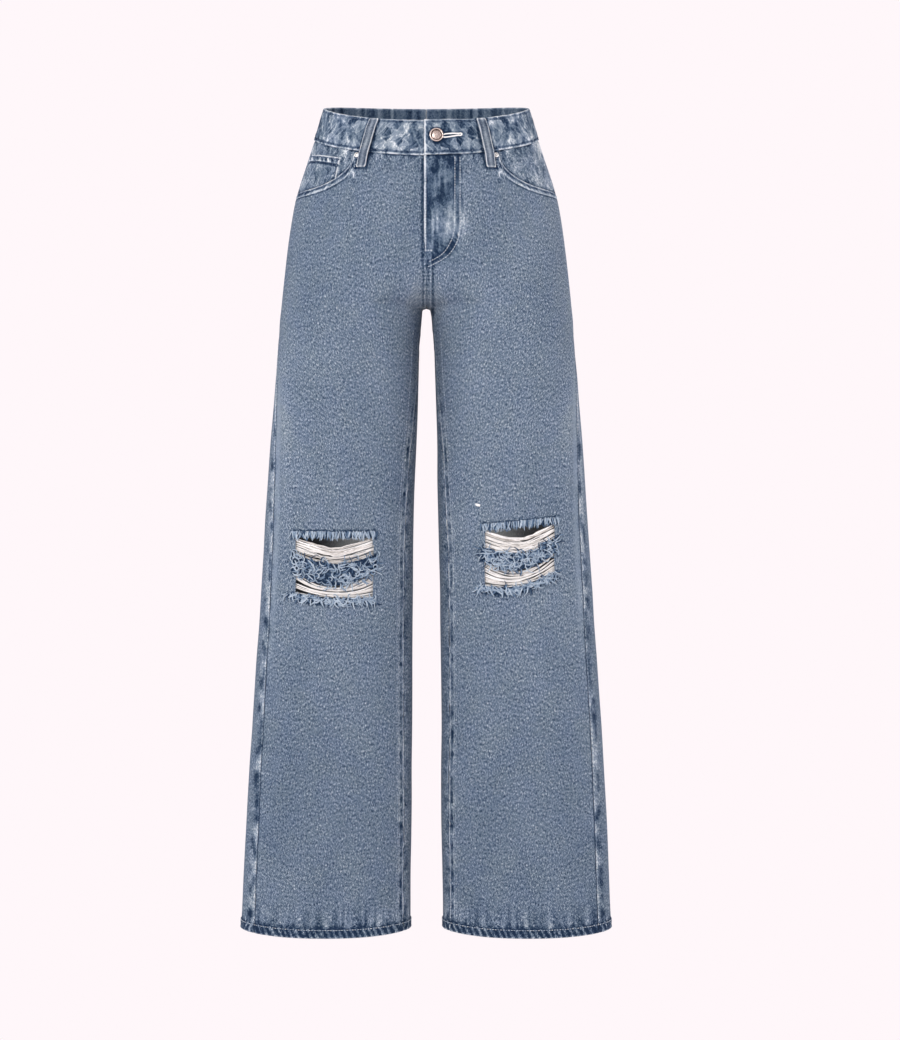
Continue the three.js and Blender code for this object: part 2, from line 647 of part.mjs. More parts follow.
for (const [side, leg] of Object.entries(bothLegs)) {
  sew(`front_${side}`, rippedFront(leg), denimBlue);
  sew(`back_${side}`, backPanel(leg), denimBlue);
  sew(`yoke_${side}`, yoke(leg), denimBlue);
  sew(`waistband_${side}`, waistbandHalf(leg), denimBlue);
  sew(`pocket_facing_${side}`, pocketFacing(leg), denimBlue);
  sew(`back_pocket_${side}`, backPocketPatch(leg), denimBlue);
  sew(`pocket_rivet_${side}`, pocketRivet(leg), nickel);
}
sew("coin_pocket", coinPocketPatch(), denimBlue);
sew("waist_button", shankButton(), copper);
for (const place of beltLoops) sew(place.name, beltLoop(place), denimPale);
for (const rip of rips) {
  for (const gap of gaps) sew(`weft_${gap.name}_${rip.name}`, weftThreads(rip, gap), threadWhite);
  for (const frayed of frayedEdges) {
    sew(`fringe_${frayed.name}_${rip.name}`, frayedFringe(rip, frayed), threadBlue);
  }
}

export default jeans;
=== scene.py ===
import math

import bpy
import numpy as np
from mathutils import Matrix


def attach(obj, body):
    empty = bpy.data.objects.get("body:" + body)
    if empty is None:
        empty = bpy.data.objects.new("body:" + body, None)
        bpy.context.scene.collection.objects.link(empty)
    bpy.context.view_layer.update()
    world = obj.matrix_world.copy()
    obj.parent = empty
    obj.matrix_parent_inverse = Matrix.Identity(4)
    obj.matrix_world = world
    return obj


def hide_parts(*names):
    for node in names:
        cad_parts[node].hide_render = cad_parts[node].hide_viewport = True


# Ripped wide-leg jeans, filled out as they hang when worn. Sizes here are millimetres, turned to metres as
# meshes are made. The front faces -Y, and right and left are the wearer's, so the right leg is at -X.

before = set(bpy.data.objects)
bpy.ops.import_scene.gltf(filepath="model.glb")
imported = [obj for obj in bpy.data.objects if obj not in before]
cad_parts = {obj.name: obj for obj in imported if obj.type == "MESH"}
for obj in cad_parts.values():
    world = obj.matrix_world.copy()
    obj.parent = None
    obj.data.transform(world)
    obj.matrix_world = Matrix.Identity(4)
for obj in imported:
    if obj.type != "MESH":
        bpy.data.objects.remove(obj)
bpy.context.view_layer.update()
scene = bpy.context.scene
rightLeg, leftLeg = -1, 1
sideNames = {rightLeg: "right", leftLeg: "left"}
fine = 1.0  # share of the full number of rows and columns in each grid

# Camera: level with the middle of the legs, with the garment a little left of the picture's middle
photo = dict(width=900, height=1040, scale=1.25, centreColumn=426.5)
viewpoint = dict(distance=3300, height=-487.5, sensor=24)
cameraData = bpy.data.cameras.new("camera")
cameraData.sensor_fit = "VERTICAL"
cameraData.sensor_height = viewpoint["sensor"]
cameraData.lens = viewpoint["distance"] * viewpoint["sensor"] / (photo["height"] * photo["scale"])
cameraData.shift_x = (photo["width"] / 2 - photo["centreColumn"]) / photo["height"]
camera = bpy.data.objects.new("camera", cameraData)
camera.location = (0, -viewpoint["distance"] / 1000, viewpoint["height"] / 1000)
camera.rotation_euler = (math.pi / 2, 0, 0)
scene.collection.objects.link(camera)
scene.camera = camera
print("camera ready")

# The filled form, as in the solids, a row for each height: half width of the whole garment, inner edge of a
# leg from the centre line, the foremost and rearmost cloth, and how far each seam comes forward
sectionColumns = ("height", "side", "fork", "front", "back", "outseam", "inseam")
sectionRows = [
    (45, 121.5, -121.5, -82, 83, 0, 0),
    (0, 135, -135, -88, 90, 0, 0),
    (-40, 148, -148, -94, 97, 0, 0),
    (-88, 163, -163, -100, 106, 0, 0),
    (-140, 172, -172, -103, 112, 0, 0),
    (-180, 177, -80, -103, 114, 0.004, 0),
    (-222, 181, 0, -101, 110, 0.04, 0),
    (-223.2, 181.1, 3.6, -100.9, 109.3, 0.042, 0),
    (-226, 181.4, 5.3, -100.6, 108, 0.05, 0),
    (-240, 183, 6.2, -100, 105, 0.12, 0),
    (-275, 185, 9, -98, 98, 0.7, 0),
    (-340, 190, 11.3, -95, 88, 4, 2),
    (-400, 195, 13.1, -92, 81, 8, 6),
    (-540, 204, 16.2, -86, 69, 13, 10),
    (-712, 215, 18.2, -80, 59, 15, 9.5),
    (-840, 223.5, 18.8, -76, 55, 16.5, 8.5),
    (-1000, 231, 19.5, -74, 54, 18, 8),
]
sections = {name: np.array(values[::-1], float) for name, values in zip(sectionColumns, zip(*sectionRows))}

# Main sizes: the form, the turned hem, the top edge, the band and its overlap, the fly, the pocket mouth, the
# loops, the pocket facings and the yoke's seam
form = dict(squareness=2.25, crotch=-222, seam=0.3, tucked=4)
hem = dict(bottom=-996.5, depth=12, proud=0.8, thickness=3.1, rows=15)
rim = dict(mean=23.3, tilt=20, dip=4)
waistband = dict(frontHeight=44, sideHeight=40, face=43, proud=1.2, wall=2.8, underlap=22)
overlap = dict(edge=3, full=28, start=52)
fly = dict(edge=3, underlap=8, lift=1.8, full=14, start=42, fadeTop=-140, bottom=-178)
scoop = dict(centreX=160, top=-36, halfWidth=72, depth=45)
loop = dict(width=11, wall=1.6, standOff=2.6, below=20)
facing = dict(innerX=76, below=26, sink=2.7, level=26)
yokeSeam = dict(centreHeight=-108, sideHeight=-70, sideX=158)


def mixed(a, b, t):
    # from a at 0 to b at 1
    return a + (b - a) * t


def eased(value, low, high):
    # 0 up to low and 1 from high on, with a smooth step between
    t = np.clip((value - low) / (high - low), 0, 1)
    return t * t * (3 - 2 * t)


def softNoise(x, y, seed=0):
    # smooth noise from -1 to 1: fixed random heights at whole numbers, eased into each other
    x, y = np.broadcast_arrays(np.asarray(x, float), np.asarray(y, float))
    left, low = np.floor(x), np.floor(y)
    across, up = eased(x - left, 0, 1), eased(y - low, 0, 1)

    def corner(stepX, stepY):
        # the random height at a whole number, from the far digits of a sine
        wave = np.sin((left + stepX) * 127.1 + (low + stepY) * 311.7 + seed * 74.7) * 43758.5453
        return wave - np.floor(wave)

    lower = mixed(corner(0, 0), corner(1, 0), across)
    upper = mixed(corner(0, 1), corner(1, 1), across)
    return 2 * mixed(lower, upper, up) - 1


def sectionValue(column, height):
    # a smooth curve through the table's rows that never passes their values
    levels, values = sections["height"], sections[column]
    secants = np.diff(values) / np.diff(levels)
    above, below = secants[1:], secants[:-1]
    both = np.where(above + below == 0, 1, above + below)
    together = np.where(above * below > 0, 2 * above * below / both, 0)
    slopes = np.concatenate([secants[:1], together, secants[-1:]])
    i = np.clip(np.searchsorted(levels, height, side="right") - 1, 0, len(levels) - 2)
    span = levels[i + 1] - levels[i]
    t = (height - levels[i]) / span
    ease = t * t * (3 - 2 * t)
    leave = t * (1 - t) ** 2 * span * slopes[i]
    arrive = t * t * (t - 1) * span * slopes[i + 1]
    return mixed(values[i], values[i + 1], ease) + leave + arrive


def legSection(height):
    # a leg's middle and half size, across and in depth, from its outermost cloth
    side, fork = sectionValue("side", height), sectionValue("fork", height)
    front, back = sectionValue("front", height), sectionValue("back", height)
    return (side + fork) / 2, (side - fork) / 2, (front + back) / 2, (back - front) / 2


def formPoint(leg, turn, height):
    # a rounded section: turn 0 at a leg's inner edge, then the front, the side at half a turn, and the back
    turn, height = np.broadcast_arrays(np.asarray(turn, float), np.asarray(height, float))
    middleX, halfWidth, middleY, halfDepth = legSection(height)

    def rounded(share):
        # a power keeps the sign and squares the round section a little
        return np.sign(share) * np.abs(share) ** (2 / form["squareness"])

    x = leg * (middleX - halfWidth * rounded(np.cos(turn)))
    y = middleY - halfDepth * rounded(np.sin(turn))
    return np.stack([x, y, height], axis=-1)


def formNormal(leg, turn, height):
    # outward, square to a step round the section and a step down
    around = formPoint(leg, turn + 1e-3, height) - formPoint(leg, turn - 1e-3, height)
    down = formPoint(leg, turn, height - 1) - formPoint(leg, turn, height + 1)
    normal = np.cross(down, around) * leg
    return normal / np.linalg.norm(normal, axis=-1, keepdims=True)


def turnAtX(x, height, behind=False):
    # the turn at which the section is so far from the centre line, in front or behind
    middleX, halfWidth, _, _ = legSection(height)
    share = np.clip((middleX - x) / halfWidth, -1, 1)
    turn = np.arccos(np.sign(share) * np.abs(share) ** (form["squareness"] / 2))
    return 2 * np.pi - turn if behind else turn


# Creases: soft ridges, or troughs where the lift is negative, from one point of a face to another
creaseColumns = ("leg", "face", "top", "topX", "bottom", "bottomX", "lift", "width")
creaseRows = [
    (rightLeg, "front", -255, 176, -520, 169, 2.4, 6),
    (leftLeg, "front", -265, 177, -505, 171, 2.1, 6),
    (rightLeg, "back", -232, 45, -345, 118, -3.2, 13),
    (leftLeg, "back", -238, 52, -330, 126, -2.8, 14),
    (rightLeg, "back", -470, 150, -640, 84, -2.6, 15),
    (leftLeg, "back", -490, 146, -620, 92, -3.0, 13),
    (rightLeg, "front", -192, 20, -262, 92, -1.1, 8),
    (leftLeg, "front", -196, 24, -252, 86, -0.9, 9),
    (rightLeg, "front", -590, 118, -760, 96, 1.0, 22),
    (leftLeg, "front", -570, 112, -742, 134, 0.9, 24),
    (rightLeg, "back", -700, 170, -905, 150, 1.6, 18),
    (leftLeg, "back", -720, 92, -930, 104, 1.4, 20),
]
creases = [dict(zip(creaseColumns, row)) for row in creaseRows]


def creaseLift(leg, turn, height, x):
    # slow waves of the cloth, less where the waist holds it, with each crease's bell across and arch along
    slack = 1 - 0.9 * eased(height, -90, -20)
    waves = 0.9 * softNoise(x / 70 + 5 * leg, height / 120, 3)
    lift = slack * (waves + 0.35 * softNoise(x / 26, height / 44, 4 + leg))
    lift = lift * mixed(1, eased(np.abs(x), 0, 26), eased(height, -235, -222))
    inFront = np.sin(turn) >= 0
    for crease in creases:
        if crease["leg"] != leg:
            continue
        along = (height - crease["top"]) / (crease["bottom"] - crease["top"])
        off = (x - mixed(crease["topX"], crease["bottomX"], along)) / crease["width"]
        shown = (along > 0) & (along < 1) & (inFront == (crease["face"] == "front"))
        lift = lift + shown * crease["lift"] * np.exp(-off * off) * np.sin(np.pi * np.clip(along, 0, 1))
    return lift


def onCloth(leg, turn, height, lift=0.0):
    # a point of the form, moved outward by the creases and the lift
    turn, height = np.broadcast_arrays(np.asarray(turn, float), np.asarray(height, float))
    point = formPoint(leg, turn, height)
    rise = lift + creaseLift(leg, turn, height, leg * point[..., 0])
    return point + formNormal(leg, turn, height) * np.broadcast_to(rise, turn.shape)[..., None]


# Edges and seams
def rimHeight(turn):
    # the top edge: lower in front than behind, and higher at the sides
    return rim["mean"] - rim["tilt"] * np.sin(turn) + rim["dip"] * np.cos(2 * turn)


def waistSeam(turn):
    # the band's lower edge: the top edge less the band's height there
    return rimHeight(turn) - mixed(waistband["frontHeight"], waistband["sideHeight"], np.abs(np.cos(turn)))


def yokeHeight(x):
    # a straight seam that rises from the centre of the back to the side
    return mixed(yokeSeam["centreHeight"], yokeSeam["sideHeight"], x / yokeSeam["sideX"])


def scoopHeight(x):
    # a quarter of an ellipse, from the mouth's inner end down to the side
    off = np.clip((scoop["centreX"] - x) / scoop["halfWidth"], 0, 1)
    return scoop["top"] - scoop["depth"] * np.sqrt(1 - off * off)


def near(value, centre, width):
    # one at the centre, falling away smoothly on both sides
    return np.exp(-(((value - centre) / width) ** 2))


def fading(distance, reach):
    # one up to an edge, dying away beyond it
    return np.exp(-np.maximum(distance, 0) / reach)


def scoopDistance(x, height):
    # distance from the pocket's mouth, square to it
    start = scoop["centreX"] - scoop["halfWidth"]
    slope = scoopHeight(np.maximum(x, start + 1) + 0.5) - scoopHeight(np.maximum(x, start + 1) - 0.5)
    below = scoopHeight(x) - height
    fromCorner = np.hypot(below, x - start)
    return np.where(x > start, np.minimum(below / np.sqrt(1 + slope**2), fromCorner), fromCorner)


def sideTurn(height):
    # the side seam's turn, from how far it comes forward
    return turnAtX(sectionValue("side", height) - sectionValue("outseam", height), height)


def inseamTurn(height):
    # the inseam's turn, from how far it comes forward
    return turnAtX(sectionValue("fork", height) + sectionValue("inseam", height), height)


def centreEdge(leg, height):
    # the front's inner edge: the fly's edge or underlap above, the centre line below
    edge = -fly["edge"] if leg == leftLeg else -fly["underlap"]
    return mixed(0, edge, eased(height, fly["bottom"], fly["fadeTop"]))


def frontInnerTurn(leg, height):
    # the fly's edge above the crotch, the inseam below it
    above = height > form["crotch"]
    return np.where(above, turnAtX(centreEdge(leg, height), height), inseamTurn(height))


def backInnerTurn(height):
    # the back's centre seam above the crotch, the inseam below it
    above = height > form["crotch"]
    return np.where(above, turnAtX(-0.5, height, True), 2 * np.pi + inseamTurn(height))


def settled(turnOf, heightAt, start):
    # an edge's height depends on the turn and the turn on the height, so both are settled in a few steps
    height = start
    for _ in range(12):
        height = heightAt(turnOf(height), height)
    return height


def handX(turn, height):
    # distance from the centre line, the same on both legs
    return formPoint(leftLeg, turn, height)[..., 0]


def flyLift(leg, turn, height):
    # the left front lies over the right one, full at its edge and fading outward and down
    if leg != leftLeg:
        return 0.0 * height
    x = handX(turn, height)
    inward = 1 - eased(x, fly["full"], fly["start"])
    return fly["lift"] * inward * eased(height, fly["bottom"], fly["fadeTop"])


def seamLift(signed, height):
    # the crotch seam stands a little proud
    onSeam = eased(signed, -3.4, -2.4) * (1 - eased(signed, 6.6, 7.8))
    return 0.7 * onSeam * eased(height, -236, -226) * eased(-height, 160, 182)


def overlapLift(leg, turn, height):
    # the band's left end lies a wall's thickness over its right end
    if leg != leftLeg:
        return 0.0 * height
    x = handX(turn, height)
    rise = waistband["wall"] + form["seam"]
    return np.where(np.sin(turn) > 0, rise * (1 - eased(x, overlap["full"], overlap["start"])), 0)


# Mesh makers
def finishPiece(name, vertices, quads, material, values, cloth=None):
    # a mesh in metres, with its values as point attributes and the cloth's coordinates as a map
    mesh = bpy.data.meshes.new(name)
    mesh.vertices.add(len(vertices))
    mesh.vertices.foreach_set("co", (vertices / 1000).astype(np.float32).ravel())
    mesh.loops.add(quads.size)
    mesh.loops.foreach_set("vertex_index", quads.astype(np.int32).ravel())
    mesh.polygons.add(len(quads))
    mesh.polygons.foreach_set("loop_start", np.arange(0, quads.size, 4, dtype=np.int32))
    for label, numbers in values.items():
        attribute = mesh.attributes.new(label, "FLOAT", "POINT")
        attribute.data.foreach_set("value", np.asarray(numbers, np.float32).ravel())
    if cloth is not None:
        layer = mesh.uv_layers.new(name="cloth")
        layer.uv.foreach_set("vector", (cloth[quads.ravel()] / 1000).astype(np.float32).ravel())
    mesh.update(calc_edges=True)
    mesh.shade_smooth()
    mesh.validate()
    mesh.materials.append(material)
    piece = bpy.data.objects.new(name, mesh)
    scene.collection.objects.link(piece)
    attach(piece, "root")
    return piece


def dressed(piece, node):
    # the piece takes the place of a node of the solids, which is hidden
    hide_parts(node)
    return piece


def edgeLines(distance, rows):
    # lines along an edge: the sum of each row's strength at its distance, over its width
    return sum(strength * near(distance, at, width) for strength, at, width in rows)


def runAcross(points):
    # distance along each row of points, from its first one
    apart = np.linalg.norm(np.diff(points, axis=1), axis=-1)
    return np.concatenate([np.zeros((len(points), 1)), np.cumsum(apart, axis=1)], axis=1)


def gridPiece(name, points, material, values, flip=False, keep=None, closed=False, anchor=None):
    # a grid of points, row by row, joined by four-sided faces; a closed grid joins its last row to its first
    rows, columns = points.shape[:2]
    index = np.arange(rows * columns).reshape(rows, columns)
    if closed:
        index = np.concatenate([index, index[:1]])
    corners = [index[:-1, :-1], index[1:, :-1], index[1:, 1:], index[:-1, 1:]]
    quads = np.stack(corners[::-1] if flip else corners, axis=-1).reshape(-1, 4)
    if keep is not None:
        quads = quads[keep.ravel()]
    used, quads = np.unique(quads, return_inverse=True)
    # the cloth's own coordinates: distance across a row from its anchor column, or its middle, and distance
    # down a column, which is the height itself where an anchor is given
    across = runAcross(points)
    across -= across[:, [columns // 2 if anchor is None else anchor]]
    down = runAcross(points.swapaxes(0, 1)).T
    down = down - down[-1] if anchor is None else -points[..., 2]
    cloth = np.stack([across, -down], axis=-1).reshape(-1, 2)[used]
    chosen = {label: np.broadcast_to(v, (rows, columns)).ravel()[used] for label, v in values.items()}
    return finishPiece(name, points.reshape(-1, 3)[used], quads.reshape(-1, 4), material, chosen, cloth)


def tubePiece(name, paths, radii, sides, material, shade):
    # many thin tubes at once: paths[n, k] are points, and a ring of a few sides goes round each
    count, length = paths.shape[:2]
    along = np.gradient(paths, axis=1)
    along /= np.maximum(np.linalg.norm(along, axis=-1, keepdims=True), 1e-9)
    outward = np.broadcast_to(np.array([0.13, -0.97, 0.21]), along.shape)
    across = np.cross(along, outward)
    across /= np.maximum(np.linalg.norm(across, axis=-1, keepdims=True), 1e-9)
    up = np.cross(across, along)
    angle = np.arange(sides) * 2 * np.pi / sides
    ring = np.cos(angle)[:, None] * across[:, :, None] + np.sin(angle)[:, None] * up[:, :, None]
    vertices = paths[:, :, None] + ring * np.broadcast_to(radii, (count, length))[:, :, None, None]
    index = np.arange(count * length * sides).reshape(count, length, sides)
    turned = np.roll(index, -1, axis=2)
    quads = np.stack([index[:, :-1], index[:, 1:], turned[:, 1:], turned[:, :-1]], axis=-1).reshape(-1, 4)
    shades = np.broadcast_to(np.asarray(shade)[:, None, None], (count, length, sides))
    return finishPiece(name, vertices.reshape(-1, 3), quads, material, dict(shade=shades))


# Materials
def linear(hexColour):
    # an sRGB colour as linear light
    parts = [int(hexColour[i : i + 2], 16) / 255 for i in (1, 3, 5)]
    return [p / 12.92 if p <= 0.04045 else ((p + 0.055) / 1.055) ** 2.4 for p in parts] + [1.0]


def addNode(tree, kind, inputs=None, out=0, stops=None, **settings):
    # one node: its settings, its inputs linked or set, and a ramp's colours; it gives back one of its outputs
    node = tree.nodes.new("ShaderNode" + kind)
    for label, value in settings.items():
        setattr(node, label, value)
    for label, value in (inputs or {}).items():
        if isinstance(value, bpy.types.NodeSocket):
            tree.links.new(value, node.inputs[label])
        else:
            node.inputs[label].default_value = value
    if stops:
        elements = node.color_ramp.elements
        for _ in stops[2:]:
            elements.new(0.5)
        for element, (place, colour) in zip(elements, stops):
            element.position = place
            element.color = linear(colour)
    return node.outputs[out]


def newMaterial(name):
    # a material with its nodes and its surface shader
    material = bpy.data.materials.new(name)
    material.use_nodes = True
    tree = material.node_tree
    return material, tree, tree.nodes["Principled BSDF"]


def noiseAt(tree, vector, size, angle, detail):
    # noise whose blotches are so many millimetres across and along, turned by an angle
    way = {"Vector": vector, "Angle": math.radians(angle)}
    turned = addNode(tree, "VectorRotate", way, rotation_type="Z_AXIS")
    scale = (1000 / size[0], 1000 / size[1], 1)
    scaled = addNode(tree, "VectorMath", {0: turned, 1: scale}, operation="MULTIPLY")
    noise = {"Vector": scaled, "Scale": 1.0, "Detail": detail, "Roughness": 0.55}
    return addNode(tree, "TexNoise", noise, noise_dimensions="2D")


# Denim: sizes in millimetres, and how strongly each part of the look is mixed in. The grain's strokes are
# drawn longer and coarser than the twill's real threads, about 0.5 mm, which are too fine to show here.
denimLook = dict(
    grainSize=(0.7, 3.4), grainAngles=(38, -32, 4), grain=1.3,
    patchSize=(46, 70), patch=0.13, shade=0.34, middle=0.45,
    stops=[
        (0.0, "#172a42"), (0.28, "#46596f"), (0.5, "#6c7c8d"),
        (0.72, "#8996a4"), (0.86, "#9fabb6"), (1.0, "#d9dee2"),
    ],
    castSize=(30, 38), tints=[(0.3, "#f7f9ff"), (0.7, "#fffffd")],
    # the inside's pale weft, and the dark painted over it as shade where it lies in shadow
    inside=[(0.2, "#959ca5"), (0.8, "#cfd2d4")], hollow="#26262a",
    lineGap=11.0, lineLength=42.0, line=0.35,
    cellSize=(8, 12), cell=0.55, wornMiddle=0.18,
    netSize=9.5, net=0.24, netTone=0.42,
)


def denimMaterial(name, look):
    # stone-washed twill: fine crossed strokes of pale weft and dark warp, pale lines where folds have rubbed
    material, tree, shader = newMaterial(name)
    cloth = addNode(tree, "UVMap", uv_map="cloth")
    labels = ("shade", "calm", "worn", "deep")
    given = {label: addNode(tree, "Attribute", out="Fac", attribute_name=label) for label in labels}

    def rubbedLine(gap, angle):
        # pale where a long noise passes through its middle value
        long = noiseAt(tree, cloth, (gap, look["lineLength"]), angle, 1.0)
        off = addNode(tree, "Math", {0: long, 1: 0.5}, operation="SUBTRACT")
        away = addNode(tree, "Math", {0: off}, operation="ABSOLUTE")
        return addNode(tree, "MapRange", {0: away, 1: 0.0, 2: 0.085, 3: 1.0, 4: 0.0})

    def crumpledNet(feature, out):
        # rounded cells a few millimetres across, with edges that wander
        waves = {"Vector": cloth, "Scale": 160.0, "Detail": 1.0}  # about 6 mm long
        wander = addNode(tree, "TexNoise", waves, 1, noise_dimensions="2D")
        shift = addNode(tree, "VectorMath", {0: wander, 1: (0.5, 0.5, 0.5)}, operation="SUBTRACT")
        cells = (1000 / look["netSize"], 720 / look["netSize"], 0)
        moved = addNode(tree, "VectorMath", {0: cloth, 1: cells, 2: shift}, operation="MULTIPLY_ADD")
        net = {"Vector": moved, "Scale": 1.0}
        return addNode(tree, "TexVoronoi", net, out, voronoi_dimensions="2D", feature=feature)

    # grain: three crossed sets of strokes, weaker where the cloth is calm
    grain = -1.0
    for angle in look["grainAngles"]:
        strokes = noiseAt(tree, cloth, look["grainSize"], angle, 2.0)
        grain = addNode(tree, "Math", {0: grain, 1: strokes}, operation="ADD")
    offGrain = addNode(tree, "Math", {0: grain, 1: 0.5}, operation="SUBTRACT")
    lively = {0: given["calm"], 1: -look["grain"], 2: look["grain"]}
    grainStrength = addNode(tree, "Math", lively, operation="MULTIPLY_ADD")
    # wear: the sum of each mark times its strength, less its middle
    folds = {0: rubbedLine(look["lineGap"], -28), 1: rubbedLine(look["lineGap"] * 1.4, 36)}
    lines = addNode(tree, "Math", folds, operation="MAXIMUM")
    cells = noiseAt(tree, cloth, look["cellSize"], 12, 2.0)
    toEdge = crumpledNet("DISTANCE_TO_EDGE", "Distance")
    netLines = addNode(tree, "MapRange", {0: toEdge, 1: 0.0, 2: 0.1, 3: 1.0, 4: 0.0})
    netTones = addNode(tree, "SeparateColor", {0: crumpledNet("F1", "Color")})
    marks = [(lines, "line"), (cells, "cell"), (netLines, "net"), (netTones, "netTone")]
    wear = -look["wornMiddle"] - 0.5 * (look["cell"] + look["netTone"])
    for mark, label in marks:
        wear = addNode(tree, "Math", {0: mark, 1: look[label], 2: wear}, operation="MULTIPLY_ADD")
    # tone: large patches, the piece's own shading, its grain and its wear
    patches = noiseAt(tree, cloth, look["patchSize"], 8, 3.0)
    layers = [(patches, look["patch"]), (given["shade"], look["shade"])]
    layers += [(offGrain, grainStrength), (given["worn"], wear)]
    tone = look["middle"] - 0.5 * look["patch"]
    for layer, strength in layers:
        tone = addNode(tree, "Math", {0: layer, 1: strength, 2: tone}, operation="MULTIPLY_ADD")
    blue = addNode(tree, "ValToRGB", {0: tone}, stops=look["stops"])
    # some areas are a little bluer
    areas = noiseAt(tree, cloth, look["castSize"], 20, 2.0)
    casts = addNode(tree, "ValToRGB", {0: areas}, stops=look["tints"])
    colour = addNode(tree, "Mix", {0: 1.0, 6: blue, 7: casts}, 2, data_type="RGBA", blend_type="MULTIPLY")
    # the inside of the cloth shows its pale weft, painted dark as shade where the deep attribute is set
    weftSide = addNode(tree, "ValToRGB", {0: grain}, stops=look["inside"])
    shadowed = {0: given["deep"], 6: weftSide, 7: linear(look["hollow"])}
    hollow = addNode(tree, "Mix", shadowed, 2, data_type="RGBA")
    inside = addNode(tree, "NewGeometry", out="Backfacing")
    twoSided = addNode(tree, "Mix", {0: inside, 6: colour, 7: hollow}, 2, data_type="RGBA")
    tree.links.new(twoSided, shader.inputs["Base Color"])
    bump = addNode(tree, "Bump", {"Strength": 0.3, "Distance": 0.0006, "Height": grain})
    tree.links.new(bump, shader.inputs["Normal"])
    shader.inputs["Roughness"].default_value = 0.92
    shader.inputs["Specular IOR Level"].default_value = 0.15
    return material


def threadMaterial(name, stops):
    # matt spun thread: its own tone with fuzz about 1.1 mm apart along it, coarser than real fibres, which
    # wouldn't show
    material, tree, shader = newMaterial(name)
    place = addNode(tree, "TexCoord", out="Object")
    fuzz = addNode(tree, "TexNoise", {"Vector": place, "Scale": 900.0, "Detail": 2.0})
    shade = addNode(tree, "Attribute", out="Fac", attribute_name="shade")
    base = addNode(tree, "Math", {0: shade, 1: 0.25}, operation="SUBTRACT")
    tone = addNode(tree, "Math", {0: fuzz, 1: 0.5, 2: base}, operation="MULTIPLY_ADD")
    tree.links.new(addNode(tree, "ValToRGB", {0: tone}, stops=stops), shader.inputs["Base Color"])
    bump = addNode(tree, "Bump", {"Strength": 0.4, "Distance": 0.0003, "Height": fuzz})
    tree.links.new(bump, shader.inputs["Normal"])
    shader.inputs["Roughness"].default_value = 0.9
    shader.inputs["Specular IOR Level"].default_value = 0.1
    return material


def metalMaterial(name, colour, worn, roughness):
    # plated metal: bright where rubbed, dull in marks about 1.5 mm across, with painted shade in its hollows
    # and a little painted highlight on its ridges, from the shade attribute
    material, tree, shader = newMaterial(name)
    place = addNode(tree, "TexCoord", out="Object")
    marks = addNode(tree, "TexNoise", {"Vector": place, "Scale": 650.0, "Detail": 4.0})
    shade = addNode(tree, "Attribute", out="Fac", attribute_name="shade")
    tone = addNode(tree, "Math", {0: marks, 1: shade}, operation="ADD")
    # the darkest stop takes the painted shade in the hollows
    darkest = "#" + "".join("%02x" % (int(worn[i : i + 2], 16) // 4) for i in (1, 3, 5))
    stops = [(0.0, darkest), (0.35, worn), (0.65, colour)]
    tree.links.new(addNode(tree, "ValToRGB", {0: tone}, stops=stops), shader.inputs["Base Color"])
    rough = addNode(tree, "MapRange", {0: marks, 3: roughness + 0.15, 4: roughness - 0.05})
    tree.links.new(rough, shader.inputs["Roughness"])
    shader.inputs["Metallic"].default_value = 1.0
    return material


washedDenim = denimMaterial("washed_denim", denimLook)
paleStops = [(0.0, "#333f50"), (0.28, "#65717f"), (0.5, "#8c96a1"), (0.72, "#adb4bb"), (1.0, "#eceef0")]
paleDenim = denimMaterial("pale_worn_denim", dict(denimLook, stops=paleStops, grain=0.6))
stitchStops = [(0.0, "#24344d"), (0.35, "#6f8099"), (0.6, "#aab6c4"), (1.0, "#dfe4e8")]
topstitch = threadMaterial("topstitch_thread", stitchStops)
blueThread = threadMaterial("frayed_blue_thread", [(0.0, "#1f314b"), (0.4, "#5f7894"), (1.0, "#bccad7")])
weftThread = threadMaterial("undyed_weft_thread", [(0.0, "#9a948d"), (0.4, "#e6e2dd"), (1.0, "#ffffff")])
copper = metalMaterial("copper_plated_steel", "#e6d6ce", "#a08a81", 0.3)
nickel = metalMaterial("nickel_plated_steel", "#efeeec", "#a5a39f", 0.3)
print("materials ready")

# Rips: inner and outer ends, and the height of each torn edge at its inner end, middle and outer end
rips = {
    rightLeg: dict(
        innerX=65,
        outerX=160,
        top=(-509, -509.5, -509),
        stripTop=(-530, -540.5, -528),
        stripBottom=(-551, -567.5, -551),
        bottom=(-582, -582.5, -576.5),
    ),
    leftLeg: dict(
        innerX=71,
        outerX=156,
        top=(-500, -496.5, -492),
        stripTop=(-521, -528.5, -510),
        stripBottom=(-537.5, -548, -526.5),
        bottom=(-567.5, -567.5, -550.5),
    ),
}
gaps = [("top", "stripTop"), ("stripBottom", "bottom")]


def tornHeight(leg, edge, share):
    # a torn edge: straight from end to end, bowed to its height in the middle
    inner, middle, outer = rips[leg][edge]
    bow = 4 * share * (1 - share)
    return mixed(inner, outer, share) + bow * (middle - (inner + outer) / 2)


def ripShare(leg, x):
    # 0 at the rip's inner end and 1 at its outer end
    return (x - rips[leg]["innerX"]) / (rips[leg]["outerX"] - rips[leg]["innerX"])


def onStrip(leg, share, height, margin):
    # between the two gaps, or within a margin of that
    below = height < tornHeight(leg, "stripTop", share) + margin
    return below & (height > tornHeight(leg, "stripBottom", share) - margin)


def smoothed(values, reach=9):
    # corners rounded by averaging each value with its neighbours
    before, after = values[reach:0:-1], values[-2 : -reach - 2 : -1]
    padded = np.concatenate([2 * values[0] - before, values, 2 * values[-1] - after])
    return np.convolve(padded, np.full(2 * reach + 1, 1 / (2 * reach + 1)), "valid")


